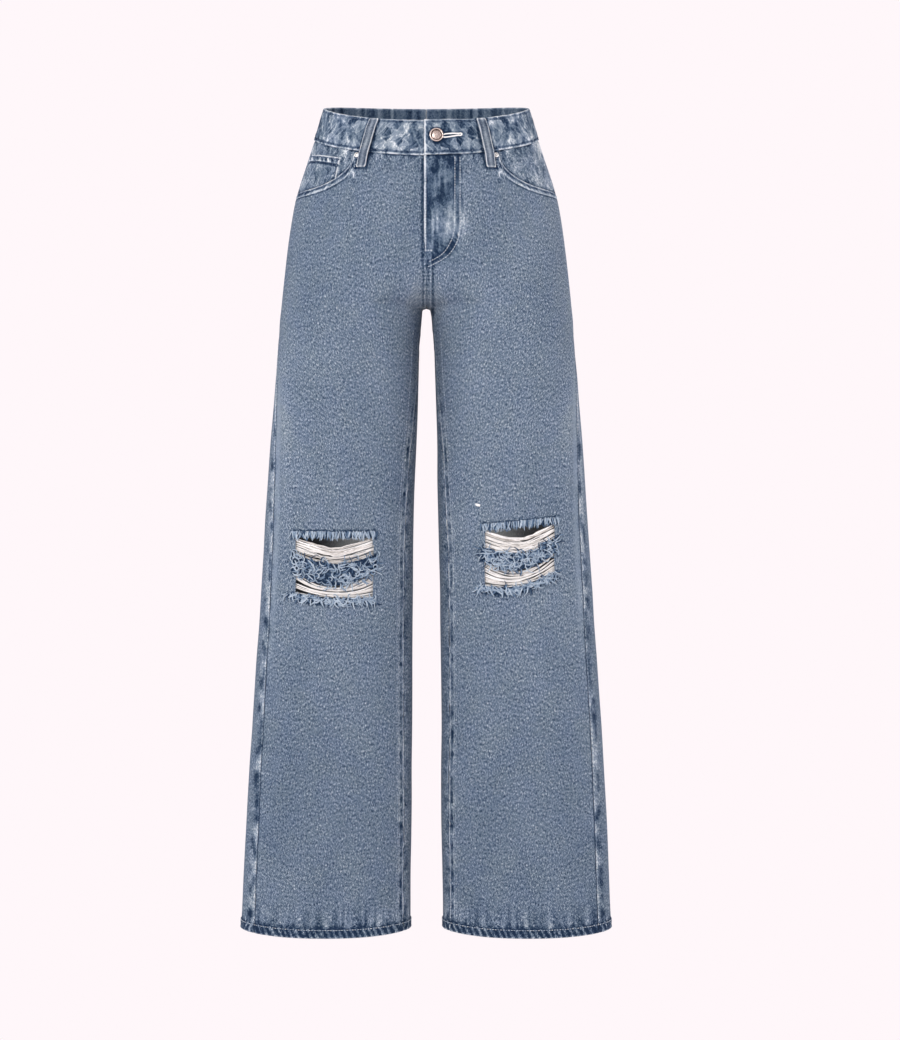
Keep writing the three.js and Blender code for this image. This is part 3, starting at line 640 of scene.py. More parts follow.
# The fly's two stitched rows, as corners that are joined and rounded
steps = np.linspace(0, 1, 160)
flyRows = [
    [(40.7, -46), (40.7, -133), (39.5, -146), (29.7, -164.6), (16, -174.5), (1.5, -180.2)],
    [(34.4, -46), (34.4, -131), (32.2, -145.1), (22.5, -163.4), (12, -170.5), (3, -174.3)],
]


def flyPath(row):
    # even steps along a row's corners, smoothed
    corners = np.array(row, float)
    run = np.concatenate([[0], np.cumsum(np.hypot(*np.diff(corners, axis=0).T))])
    x = np.interp(steps * run[-1], run, corners[:, 0])
    return smoothed(x), smoothed(np.interp(steps * run[-1], run, corners[:, 1]))


def fromFlyRows(signed, height):
    # distance from the nearer of the fly's two stitched rows
    nearest = np.full(signed.shape, 99.0)
    for row in flyRows:
        for x, level in zip(*flyPath(row)):
            nearest = np.minimum(nearest, np.hypot(signed - x, height - level))
    return nearest


# Front panels, with the lines along their edges as strength, distance from the edge and width
frontLook = dict(
    rows=560, columns=150, length=950, hipPaintedShade={rightLeg: 0.1, leftLeg: 0.02},
    mouth=[(1.7, 0.4, 1.1), (-1.3, 2.7, 0.9), (1.2, 6.2, 1.0), (-1.3, 8.3, 0.9), (-0.2, 4.5, 2.5)],
    felled=[(1.5, 2.0, 0.9), (-1.5, 0, 0.9), (0.7, 9.6, 1.0)],
    crotchSeam=[(-1.1, -4, 1.1), (-1.2, 8, 1.2), (1.0, -2, 0.8), (0.8, 5.4, 0.8)],
)
frontRows, frontColumns = int(frontLook["rows"] * fine), int(frontLook["columns"] * fine)


def hemProfile(rows):
    # down the outside, round the bottom and up the inside: height above the hem's bottom, and lift
    t = np.linspace(0, 1, rows)
    half = hem["thickness"] / 2
    middle = hem["proud"] - half
    angle = np.clip((t - 0.4) / 0.25, 0, 1) * np.pi
    straight = hem["depth"] - half
    height = np.where(t < 0.4, mixed(hem["depth"], half, t / 0.4), half - half * np.sin(angle))
    height = np.where(t > 0.65, mixed(half, straight, (t - 0.65) / 0.35), height)
    lift = middle + half * np.cos(angle)
    return height, lift


def panelHeights(top, rows):
    # rows follow the top edge at first and are level further down, then go round the hem
    t = np.linspace(0, 1, rows)[:, None]
    bottom = hem["bottom"] + hem["depth"] + 0.5
    meanTop = top.mean()
    fade = np.clip(1 - t / 0.14, 0, 1) ** 2
    body = mixed(meanTop, bottom, t) + (top[None] - meanTop) * fade
    above, lift = hemProfile(hem["rows"])
    turned = np.broadcast_to((hem["bottom"] + above)[:, None], (hem["rows"], len(top)))
    lifts = np.concatenate([np.zeros((rows, len(top))), np.broadcast_to(lift[:, None], turned.shape)])
    return np.concatenate([body, turned]), lifts


def hemMarks(x, aboveHem):
    # slanting bars where the doubled hem has twisted, short upright puckers above it, and a dark base
    onHem = (aboveHem < hem["depth"] + 0.3) * 1.0
    wave = np.sin(2 * np.pi * (x / 7.5 + aboveHem / 16) + 2.6 * softNoise(x / 15, 0.5, 9))
    above = softNoise(x / 3.0, aboveHem / 30, 10) * fading(aboveHem - hem["depth"], 11) * (1 - onHem)
    dark = 0.75 * onHem + near(aboveHem, hem["depth"] + 1.2, 1.1) + 0.35 * fading(aboveHem - hem["depth"], 9)
    return wave * onHem, above, dark - 1.3 * near(aboveHem, 0.6, 1.2)


def seamPucker(distance, along, reach, size, seed):
    # light and dark blotches along a seam, dying away from it
    blotch = softNoise(along / size, distance / (size * 0.8), seed)
    blotch = blotch + 0.5 * softNoise(along / (size * 0.45), 0.3, seed + 5)
    return blotch * near(distance, 0, reach)


def fromSeam(turn, height, seamTurn):
    # distance from a seam: across, and a share of the way round where the section turns away
    return np.abs(handX(turn, height) - handX(seamTurn, height)) + 0.35 * np.abs(turn - seamTurn) * 60


def crowded(count, innerShare, outerShare):
    # places from 0 to 1, closer together near both ends, where the seams are
    inner, outer = count // 6, count // 7
    start = np.linspace(0, innerShare, inner, endpoint=False)
    middle = np.linspace(innerShare, 1 - outerShare, count - inner - outer, endpoint=False)
    return np.concatenate([start, middle, np.linspace(1 - outerShare, 1, outer)])


def hemDip(turn, height):
    # the hem hangs lower in the middle of the front and back than at the seams
    return (2.4 - 5.4 * np.sin(turn) ** 2) * eased(-height, 880, 985)


def frontPanel(leg):
    # the form from the fly or inseam to the side seam, and from the waist or the pocket's mouth to the hem:
    # its gaps are left out, and puckers, rolled edges and the fly's overlap lift it
    share = crowded(frontColumns, 0.07, 0.05)

    def turnOf(height):
        # from the inner edge to the side seam, by share
        return mixed(frontInnerTurn(leg, height), sideTurn(height) - 0.0003, share)

    def topEdge(turn, height):
        # just above the waist seam, or the pocket's mouth where that is lower
        x = handX(turn, height)
        seam = waistSeam(turn) + form["tucked"]
        return np.where(x < scoop["centreX"] - scoop["halfWidth"], seam, np.minimum(seam, scoopHeight(x)))

    top = settled(turnOf, topEdge, np.full(frontColumns, float(scoop["top"])))
    height, lift = panelHeights(top, frontRows)
    aboveHem = height - hem["bottom"]
    height = height + hemDip(turnOf(height), height)
    # torn edges: rows close to an edge move onto it
    x = handX(turnOf(height), height)
    across = ripShare(leg, x)
    held = np.clip(across, 0, 1)
    inRip = (across > 0) & (across < 1)
    rowStep = 0.55 * frontLook["length"] / frontRows
    for edge in ("top", "stripTop", "stripBottom", "bottom"):
        level = tornHeight(leg, edge, held) + 0.5 * softNoise(x / 3.5, 0.5, 21)
        height = np.where(inRip & (np.abs(height - level) < rowStep), level, height)
    turn = turnOf(height)
    x = handX(turn, height)
    signed = leg * x

    # faces whose middle is in a gap are left out
    middleHeight = (height[:-1, :-1] + height[1:, 1:]) / 2
    middleShare = ripShare(leg, (x[:-1, :-1] + x[1:, 1:]) / 2)
    middleHeld = np.clip(middleShare, 0, 1)
    keep = np.ones(middleHeight.shape, bool)
    for upper, lower in gaps:
        below = middleHeight < tornHeight(leg, upper, middleHeld)
        above = middleHeight > tornHeight(leg, lower, middleHeld)
        keep &= ~((middleShare > 0) & (middleShare < 1) & below & above)

    # distances from the edges, in millimetres
    fromScoop = scoopDistance(x, height)
    fromWaist = waistSeam(turn) - height
    fromSide = fromSeam(turn, height, sideTurn(height))
    fromInner = fromSeam(turn, height, frontInnerTurn(leg, height))

    # cut edges roll under, and seams sink a little
    lift = lift + flyLift(leg, turn, height) + seamLift(signed, height)
    lift = lift - 1.1 * near(fromScoop, 0, 0.9) * (fromWaist > 2) - 0.8 * near(fromWaist, 0, 1.4)
    lift = lift - mixed(0.3, 0.9, eased(-height, 240, 330)) * near(fromSide, 0, 1.3)
    lift = lift - 0.7 * near(fromInner, 0, 1.3) * (height < form["crotch"] - 20)
    # puckers
    waistPucker = softNoise(x / 3.6, height / 30, 31 + leg) * np.exp(-fromWaist / 7)
    sidePucker = seamPucker(fromSide, height, 6, 9, 33 + leg) * eased(-height, 300, 420) * 0.35
    innerPucker = seamPucker(fromInner, height, 9, 8, 35 + leg) * eased(-height, 240, 420)
    mouthPucker = softNoise((x * 1.2 + height) / 2.6, fromScoop / 9, 37 + leg) * (height > -112)
    mouthPucker = mouthPucker * near(fromScoop, 4.8, 2.6)
    roping, aboveRope, hemDark = hemMarks(signed, aboveHem)
    lift = lift + 0.5 * waistPucker + 0.7 * sidePucker + 0.6 * innerPucker + 0.4 * mouthPucker
    lift = lift + 0.45 * roping + 0.3 * aboveRope
    lift = lift - 0.35 * (near(fromScoop, 2.2, 0.9) + near(fromScoop, 7.4, 0.9)) * (fromWaist > 2)
    # the strip between the gaps bellies out a little
    belly = (0.8 + 0.6 * softNoise(x / 9, height / 7, 41)) * eased(across, 0, 0.1) * eased(1 - across, 0, 0.1)
    lift = lift + (onStrip(leg, held, height, 2) & inRip) * belly

    puckers = waistPucker + sidePucker + np.minimum(innerPucker, 0.2) + mouthPucker
    shade = 1.3 * puckers + 1.1 * roping + 1.8 * aboveRope - hemDark
    shade = shade + edgeLines(fromScoop, frontLook["mouth"]) * (fromWaist > 3)
    # painted shadow under the band's lower edge
    shade = shade - 1.3 * near(fromWaist, 0.6, 1.4)
    shade = shade - 2.6 * near(fromSide, 0.9, 1.1) * mixed(0.25, 1, eased(-height, 230, 300))
    pressed = near(fromSide, 8, 5) * eased(-height, 280, 360) * (1 - eased(-height, 560, 720))
    shade = shade + 0.5 * pressed
    # the felled inseam: pale edge, dark dashes between its two rows of stitches
    dashes = np.maximum(softNoise(height / 5, 0.5, 47 + leg) + 0.1, 0)
    felled = edgeLines(fromInner, frontLook["felled"]) - 1.9 * dashes * near(fromInner, 6.4, 1.9)
    shade = shade + felled * eased(-height, 290, 400)
    # painted light at the crotch, where the legs shade each other, and painted shade below the knees and over
    # the hips
    shade = shade + 0.45 * near(x, 8, 24) * near(height, -224, 24)
    shade = shade + 0.2 * near(x, 8, 20) * near(height, -210, 30) * (leg == rightLeg)
    shade = shade - 0.12 * eased(-height, 480, 760) - frontLook["hipPaintedShade"][leg] * eased(height, -300, -170)
    shade = shade + flyShade(leg, x, height) + ripPaintedShade(leg, x, height) + loopShadow(leg, x, height)
    shade = shade + 0.09 * creaseLift(leg, turn, height, x)
    # calm and worn places
    onFly = eased(signed, -4, -2) * (1 - eased(signed, 36, 46)) * eased(height, -186, -160) * (leg == leftLeg)
    atMouth = (fromScoop < 9) & (height > -115)
    calm = 0.55 * onFly + 0.3 * atMouth + 0.6 * pressed
    worn = fading(fromWaist, 9) + 0.7 * atMouth + 0.2 * near(fromInner, 5, 7) * (height < -240)
    worn = worn + 0.2 * near(fromSide, 0, 7) * (height < -260) + 0.6 * fading(aboveHem - hem["depth"], 9)
    worn = np.clip(worn + 0.9 * calm * (leg == leftLeg) * (x < 50), 0, 1)
    points = onCloth(leg, turn, height, lift)
    values = dict(shade=shade, calm=calm, worn=worn)
    piece = gridPiece("front_panel_" + sideNames[leg], points, washedDenim, values, leg < 0, keep, anchor=-1)
    return dressed(piece, "front_" + sideNames[leg])


def ripPaintedShade(leg, x, height):
    # painted shade in the hollows under the frayed threads: above the top edge, over the strip and below the
    # bottom edge
    share = ripShare(leg, x)
    held = np.clip(share, 0, 1)
    ends = eased(share, -0.07, -0.03) * eased(1 - share, -0.07, -0.03)
    above = height - tornHeight(leg, "top", held)
    below = tornHeight(leg, "bottom", held) - height
    ragged = 2.5 * softNoise(x / 4, 0.5, 43 + leg)
    dark = 1.4 * (above > -1) * (1 - eased(above + 0.4 * ragged, 8.6, 10.4))
    dark = dark + 1.9 * onStrip(leg, held, height, 1)
    dark = dark + 1.8 * (below > -1) * (1 - eased(below + ragged, 6, 12))
    return -dark * ends


# Where each belt loop's middle is at its upper and lower ends, from the centre line
beltLoops = [
    dict(name="belt_loop_front_right", leg=rightLeg, behind=False, topX=63.5, bottomX=80),
    dict(name="belt_loop_front_left", leg=leftLeg, behind=False, topX=66, bottomX=79),
    dict(name="belt_loop_back_right", leg=rightLeg, behind=True, topX=92, bottomX=104),
    dict(name="belt_loop_back_left", leg=leftLeg, behind=True, topX=92, bottomX=104),
    dict(name="belt_loop_back_centre", leg=leftLeg, behind=True, topX=0, bottomX=0),
]


def loopRun(place):
    # a loop's upper end just under the top edge, and its lower end below the band
    behind = place["behind"]
    start = np.zeros(1)
    top = settled(lambda h: turnAtX(place["topX"], h, behind), lambda turn, h: rimHeight(turn), start)[0] - 1
    seam = settled(lambda h: turnAtX(place["bottomX"], h, behind), lambda turn, h: waistSeam(turn), start)[0]
    return top, seam - loop["below"]


def loopShadow(leg, x, height):
    # painted shadow: dark lines on both sides of the leg's front belt loop and under its end
    place = next(place for place in beltLoops if place["leg"] == leg and not place["behind"])
    top, bottom = loopRun(place)
    t = (top - height) / (top - bottom)
    off = np.abs(x - mixed(place["topX"], place["bottomX"], t)) - loop["width"] / 2
    sides = 2.2 * near(off, 1.1, 1.3) * (t < 1.02)
    return -sides - 1.8 * near(height, bottom - 1.0, 1.4) * (np.abs(x - place["bottomX"]) < 7)


def flyShade(leg, x, height):
    # the fly is dark with upright worn streaks, pale along its edge and at two rubbed places
    signed = leg * x
    outer = np.array(flyRows[0][::-1], float)
    limit = np.interp(height, outer[:, 1], outer[:, 0])
    inFly = eased(signed, -4, -2) * (1 - eased(signed, limit - 4, limit + 3)) * eased(height, -180, -160)
    streaks = softNoise(signed / 2.6, height / 26, 51) + 0.6 * softNoise(signed / 6, height / 40, 52)
    inward = eased(signed, 4, 14) * (1 - eased(signed, 38, 54))
    rubbed = (1.1 + 0.5 * streaks) * near(height, -128, 17) * inward
    rubbed = rubbed + 0.8 * near(height, -84, 10) * near(signed, 37, 5)
    blots = softNoise(signed / 9, height / 13, 53)
    shade = inFly * (-0.8 + 0.6 * streaks + 0.5 * blots) + 1.2 * rubbed
    ridge = near(signed, 6.7, 1.2) * eased(height, -165, -150) * (1 - eased(height, -95, -80)) * 0.4
    edge = near(signed, -2.0, 1.0) * (height > -162) * (leg == leftLeg)
    # painted shadow beside the fly's edge
    edgeShadow = near(signed, -5.0, 1.5) * (height > -170)
    # the crotch seam: a narrow band with dark edges
    seamBand = edgeLines(signed, frontLook["crotchSeam"]) + 0.5 * streaks * near(signed, 2, 4)
    seamBand = seamBand - 0.45 * eased(signed, -3, -2) * (1 - eased(signed, 6, 8))
    shownSeam = eased(height, -240, -230) * eased(-height, 160, 172)
    tab = eased(signed, -2.5, -1.5) * (1 - eased(signed, 6, 7)) * near(height, -168, 6)
    rows = near(fromFlyRows(signed, height), 1.8, 0.8) * (leg == leftLeg)
    shade = shade + ridge + 3.0 * edge - 1.2 * edgeShadow
    return shade + seamBand * shownSeam + 0.8 * tab - 0.9 * rows


fronts = {leg: frontPanel(leg) for leg in (rightLeg, leftLeg)}
print("front panels ready")

# Back panels and yokes
backRows, backColumns = int(340 * fine), int(116 * fine)


def backTurnOf(share):
    # from the side seam to the inner seam, by share
    return lambda height: mixed(sideTurn(height) + 0.0003, backInnerTurn(height), share)


def backPanel(leg):
    # the form from the side seam round to the inner seam, and from the yoke to the hem, lifted by its puckers
    share = crowded(backColumns, 0.05, 0.05)
    turnOf = backTurnOf(share)
    start = np.full(backColumns, float(yokeSeam["centreHeight"]))
    top = settled(turnOf, lambda turn, height: yokeHeight(handX(turn, height)) + form["tucked"], start)
    height, lift = panelHeights(top, backRows)
    aboveHem = height - hem["bottom"]
    height = height + hemDip(turnOf(height), height)
    turn = turnOf(height)
    x = handX(turn, height)
    fromYoke = np.maximum(yokeHeight(x) - height, 0)
    run = runAcross(formPoint(leg, turn, height))
    fromSide, fromInner = run, run[:, -1:] - run
    blots = softNoise(height / 15, fromSide / 14, 63 + leg)
    sidePucker = np.minimum(blots + 0.15, 0.4) * near(fromSide, 5, 8)
    innerPucker = seamPucker(fromInner, height, 9, 8, 65 + leg)
    yokePucker = softNoise(x / 6, height / 20, 67 + leg) * np.exp(-fromYoke / 6)
    roping, aboveRope, hemDark = hemMarks(run, aboveHem)
    lift = lift - mixed(0.3, 0.9, eased(-height, 240, 330)) * near(fromSide, 0, 1.3)
    lift = lift - 0.8 * near(fromInner, 0, 1.3)
    # the top edge goes up behind the yoke
    lift = lift - 0.8 * near(fromYoke, 0, 1.3) - 0.9 * eased(height - yokeHeight(x), 0, 2)
    lift = lift + 0.7 * sidePucker + 0.6 * innerPucker + 0.4 * yokePucker + 0.45 * roping + 0.3 * aboveRope
    shade = 1.3 * sidePucker + 0.9 * np.minimum(innerPucker, 0.3) + 0.9 * yokePucker
    # the term at the yoke's edge is a painted shadow under it
    shade = shade + 1.1 * roping + 1.8 * aboveRope - hemDark - 0.8 * near(fromYoke, 0, 1.2) - 0.1
    shade = shade + 0.9 * near(fromSide, 1.3, 0.8) * eased(-height, 250, 330)
    shade = shade - 0.9 * near(fromSide, 0.3, 1.0) * eased(height, -330, -250)
    dashes = np.minimum(softNoise(height / 9, fromSide / 10, 69 + leg), 0.1)
    shade = shade + 1.9 * dashes * near(fromSide, 7, 6) * eased(-height, 280, 380)
    worn = 0.2 * near(fromInner, 5, 7) + 0.08 * near(fromSide, 0, 7) * (height < -260)
    worn = worn + 0.3 * fading(fromYoke, 8) + 0.6 * fading(aboveHem - hem["depth"], 9)
    worn = np.clip(worn, 0, 1)
    points = onCloth(leg, turn, height, lift)
    # painted shadow: the inside of the leg is painted dark behind the outer half of the rip, where it lies in
    # its own shadow
    deep = 0.95 * eased(x, 92, 142) * near(height, -540, 90)
    values = dict(shade=shade, worn=worn, deep=deep)
    piece = gridPiece("back_panel_" + sideNames[leg], points, washedDenim, values, leg < 0, anchor=0)
    return dressed(piece, "back_" + sideNames[leg])


def yokePiece(leg):
    # the form between the waist seam and the yoke's seam, its lower edge lying over the back panel
    share = np.linspace(0, 1, int(100 * fine))
    turnOf = backTurnOf(share)
    start = np.full(len(share), float(scoop["top"]))
    top = settled(turnOf, lambda turn, height: waistSeam(turn) + form["tucked"], start)
    bottom = settled(turnOf, lambda turn, height: yokeHeight(handX(turn, height)), start)
    t = np.linspace(0, 1, int(60 * fine))[:, None]
    height = mixed(top[None], bottom[None], t)
    turn = turnOf(height)
    x = handX(turn, height)
    fromTop, fromBottom = waistSeam(turn) - height, height - yokeHeight(x)
    puckerTop = softNoise(x / 5.5, height / 30, 71 + leg) * np.exp(-fromTop / 7)
    puckerBottom = softNoise(x / 5, height / 16, 73 + leg) * near(fromBottom, 0, 7)
    lift = 0.5 * puckerTop + 0.5 * puckerBottom - 0.8 * near(fromTop, 0, 1.4)
    lift = lift + 0.5 * eased(fromBottom, 10, 0) - 0.9 * near(fromBottom, 0, 0.9)
    shade = 0.9 * puckerTop + 1.1 * puckerBottom + 0.6 * near(fromBottom, 1.4, 1.0)
    points = onCloth(leg, turn, height, lift)
    worn = np.clip(fading(fromTop, 9) + 0.3 * near(fromBottom, 3, 7), 0, 1)
    values = dict(shade=shade, worn=worn)
    piece = gridPiece("yoke_panel_" + sideNames[leg], points, washedDenim, values, leg < 0, anchor=0)
    return dressed(piece, "yoke_" + sideNames[leg])


backs = {leg: backPanel(leg) for leg in (rightLeg, leftLeg)}
yokes = {leg: yokePiece(leg) for leg in (rightLeg, leftLeg)}
print("back panels and yokes ready")

# Button and rivet, each with its profile as share of the radius, rise and tone, where the tone is painted
# shade in the grooves and at the foot and a little painted highlight on the raised rings; and the
# buttonhole's slit
button = dict(
    x=11.9, height=-20.9, radius=8.5,
    profile=[
        (0.62, 0, -0.5), (0.7, 0.2, -0.5), (0.94, 0.8, -0.4), (1.0, 1.3, -0.3), (0.99, 2.0, -0.1),
        (0.95, 2.5, 0.1), (0.88, 2.7, 0.2), (0.82, 2.5, 0.0), (0.78, 1.9, -0.35), (0.74, 1.3, -0.4),
        (0.69, 1.25, -0.35), (0.65, 1.6, -0.1), (0.6, 1.95, 0.05), (0.45, 2.25, 0.0), (0.25, 2.45, 0.05),
        (0.02, 2.5, 0.1),
    ],
)
rivet = dict(
    x=84.9, height=-42.5, radius=3.2,
    profile=[
        (1.0, 0, -0.4), (1.0, 0.45, -0.3), (0.94, 0.75, 0.0), (0.8, 1.1, 0.2), (0.6, 1.28, 0.2),
        (0.48, 1.2, -0.1), (0.4, 0.95, -0.4), (0.25, 1.1, 0.0), (0.02, 1.3, 0.2),
    ],
)
hole = dict(start=19.5, end=42.5, height=-21.9, rise=3.1, startHalf=2.6, endHalf=0.9, eyelet=1.0)

# Waistband halves: a folded strip, outer face down, round the bottom, inner face up and round the top
bandLook = dict(
    # the left half's higher tone is painted light, where the lamps reach it less
    columns=300, rows=30, tone={rightLeg: 0.05, leftLeg: 0.3},
    topLines=[(1.1, 0.3, 1.1), (-0.9, 3.2, 1.0)],
    bottomLines=[(0.9, 0.5, 1.1), (-1.8, 3.4, 1.1)],
)


def foldedProfile(faceRows, turnRows):
    # share of the height from the top, and place through the wall from 1 outside to -1 inside, once round
    face = np.linspace(0.03, 0.97, faceRows)
    angle = np.linspace(0, np.pi, turnRows + 2)[1:-1]
    down = np.concatenate([face, 0.97 + 0.03 * np.sin(angle), face[::-1], 0.03 - 0.03 * np.sin(angle)])
    through = np.concatenate([np.ones(faceRows), np.cos(angle), -np.ones(faceRows), -np.cos(angle)])
    return down[:, None], through[:, None]


def bandTurnOf(frontEnd, backEnd, share):
    # from the band's end in front to the centre of the back, by share
    return lambda height: mixed(turnAtX(frontEnd, height), turnAtX(backEnd, height, True), share)


def bandLevel(down):
    # a share of the way down from the top edge to the waist seam
    return lambda turn, height: mixed(rimHeight(turn), waistSeam(turn), down)


def waistbandPiece(leg):
    # a folded section carried along the top of the form, with dents between its stitches and darker marks
    frontEnd = -overlap["edge"] if leg == leftLeg else -waistband["underlap"]
    bandColumns = int(bandLook["columns"] * fine)
    share = crowded(bandColumns, 0.03, 0.01)[None]
    down, through = foldedProfile(int(bandLook["rows"] * fine), 5)
    turnOf = bandTurnOf(frontEnd, form["seam"] / 2, share)
    height = settled(turnOf, bandLevel(down), np.zeros((len(down), bandColumns)))
    turn = turnOf(height)
    x = handX(turn, height)
    run = runAcross(formPoint(leg, turn, height))
    fromTop = down * waistband["face"]
    fromBottom = (1 - down) * waistband["face"]
    outside = through > 0
    onFront = outside & (np.sin(turn) > 0)
    cells = softNoise(run / 5, fromTop / 8, 83 + leg)
    vertical = softNoise(run / 3.4, fromTop / 22, 85 + leg)
    middle = eased(fromTop, 2, 7) * eased(fromBottom, 2, 7)
    wall = waistband["wall"] / 2 * eased(share, 0, 0.004) * eased(1 - share, 0, 0.004)
    lift = waistband["proud"] - waistband["wall"] / 2 + overlapLift(leg, turn, height) + through * wall
    lift = lift + (0.35 * vertical + 0.4 * cells * middle) * outside
    lift = lift - 0.45 * (near(fromTop, 3.2, 1.1) + near(fromTop, 39.5, 1.1)) * outside
    edges = edgeLines(fromTop, bandLook["topLines"]) + edgeLines(fromBottom, bandLook["bottomLines"])
    dashes = 0.5 * vertical * (1 - middle)
    bars = softNoise(run / 4.2, 0.5, 87 + leg) * eased(fromTop, 22, 36) * (fromBottom > 3)
    shade = 0.35 * cells * middle + dashes + edges + 0.9 * bars + bandLook["tone"][leg]
    lines = softNoise(x / 3.4, 0.5, 89 + leg)
    # the inside: a darker base as painted shade, with pale upright lines and a pale worn top edge
    shade = np.where(outside, shade, -0.45 + 1.2 * lines + 1.2 * near(fromTop, 0.3, 1.0))
    shade = shade + np.where(onFront, loopShadow(leg, x, height), 0)
    if leg == leftLeg:
        # pale end; painted shade in the buttonhole's slit and round its stitches, a painted shadow round the
        # button, and dark places beside them
        shade = shade + 2.8 * near(run, 0.9, 1.3)
        along = np.clip((x - hole["start"]) / (hole["end"] - hole["start"]), 0, 1)
        slitX = mixed(hole["start"], hole["end"], along)
        offHole = np.hypot(x - slitX, height - hole["height"] - hole["rise"] * along)
        slit = 1.5 * near(offHole, 0, 1.2) + near(offHole, mixed(4.4, 3, along), 0.9)
        fromButton = np.hypot(x - button["x"], height - button["height"])
        buttonDark = eased(x, 6, 20) * (1 - eased(x, 56, 66)) * (0.75 + 0.25 * eased(fromTop, 4, 14))
        sideDark = near(fromTop, 15 + 4 * softNoise(run / 14, 0.5, 92), 6) * eased(x, 76, 86)
        dark = slit + 0.85 * buttonDark + 0.7 * sideDark + 2.0 * near(fromButton, 9.3, 1.3)
        shade = shade - np.where(onFront, dark, 0)
    points = onCloth(leg, turn, height, lift)
    values = dict(shade=shade, calm=0.6, worn=np.where(outside, 1.0, 0.2))
    name = "waistband_" + sideNames[leg]
    piece = gridPiece(name + "_half", points, washedDenim, values, leg < 0, closed=True)
    return dressed(piece, name)


bands = {leg: waistbandPiece(leg) for leg in (rightLeg, leftLeg)}
print("waistband ready")

# Front pocket facings, and the coin pocket on the right one
coin = dict(innerX=105, innerTop=-44.8, outerX=145, outerTop=-34.6, lean=7, wall=1.2)


def coinTop(x):
    # a straight slope from the inner corner up to the outer one, and level beyond it
    slope = (coin["outerTop"] - coin["innerTop"]) / (coin["outerX"] - coin["innerX"])
    return np.minimum(coin["innerTop"] + slope * (x - coin["innerX"]), coin["outerTop"])


def facingLift(turn, height):
    # sunk behind the pocket's mouth, level with the front further up, and held by the side seam
    x = handX(turn, height)
    above = height - scoopHeight(x)
    held = 1 - 0.85 * eased(x, sectionValue("side", height) - 7, sectionValue("side", height) - 0.5)
    return -facing["sink"] * (1 - eased(above, 6, facing["level"])) * held


def facingPiece(leg):
    # the form from the facing's inner edge to the side seam, and from the waist seam to below the mouth
    share = np.linspace(0, 1, int(90 * fine))

    def turnOf(height):
        # from the facing's inner edge to the side seam, by share
        return mixed(turnAtX(facing["innerX"], height), sideTurn(height) - 0.0015, share)

    start = np.full(len(share), float(scoop["top"]))
    top = settled(turnOf, lambda turn, height: waistSeam(turn) + form["tucked"], start)
    bottom = settled(turnOf, lambda turn, h: scoopHeight(handX(turn, h)) - facing["below"], start)
    height = mixed(top[None], bottom[None], np.linspace(0, 1, int(70 * fine))[:, None])
    turn = turnOf(height)
    x = handX(turn, height)
    fromWaist = waistSeam(turn) - height
    pucker = softNoise(x / 5.5, height / 26, 91 + leg) * np.exp(-fromWaist / 8)
    wearAndCoinShadow = softNoise(x / 14, height / 18, 93 + leg)
    lift = facingLift(turn, height) + 0.5 * pucker - 0.8 * near(fromWaist, 0, 1.4)
    # painted shadow on the facing under the front's edge at the pocket's mouth
    paintedMouthShadow = (2.0 + 0.9 * (x < 118)) * fading(height - scoopHeight(x), 2.2)
    if leg == rightLeg:
        # painted shadow in the gap beside the coin pocket's inner edge, added to the wear marks
        innerEdge = coin["innerX"] + coin["lean"] * np.clip((coin["innerTop"] - height) / 32, 0, 1)
        wearAndCoinShadow = wearAndCoinShadow - 3.2 * near(x, innerEdge - 2.2, 1.6) * (height < coin["innerTop"] + 2)
    shade = loopShadow(leg, x, height) + 1.2 * pucker + 0.35 * wearAndCoinShadow + 0.25
    # painted shadows under the pocket's mouth and under the band's lower edge
    shade = shade - 1.1 * paintedMouthShadow - 0.8 * near(fromWaist, 0, 1.2)
    points = onCloth(leg, turn, height, lift)
    values = dict(shade=shade, calm=0.1, worn=0.7)
    piece = gridPiece("pocket_facing_panel_" + sideNames[leg], points, washedDenim, values, leg < 0)
    return dressed(piece, "pocket_facing_" + sideNames[leg])


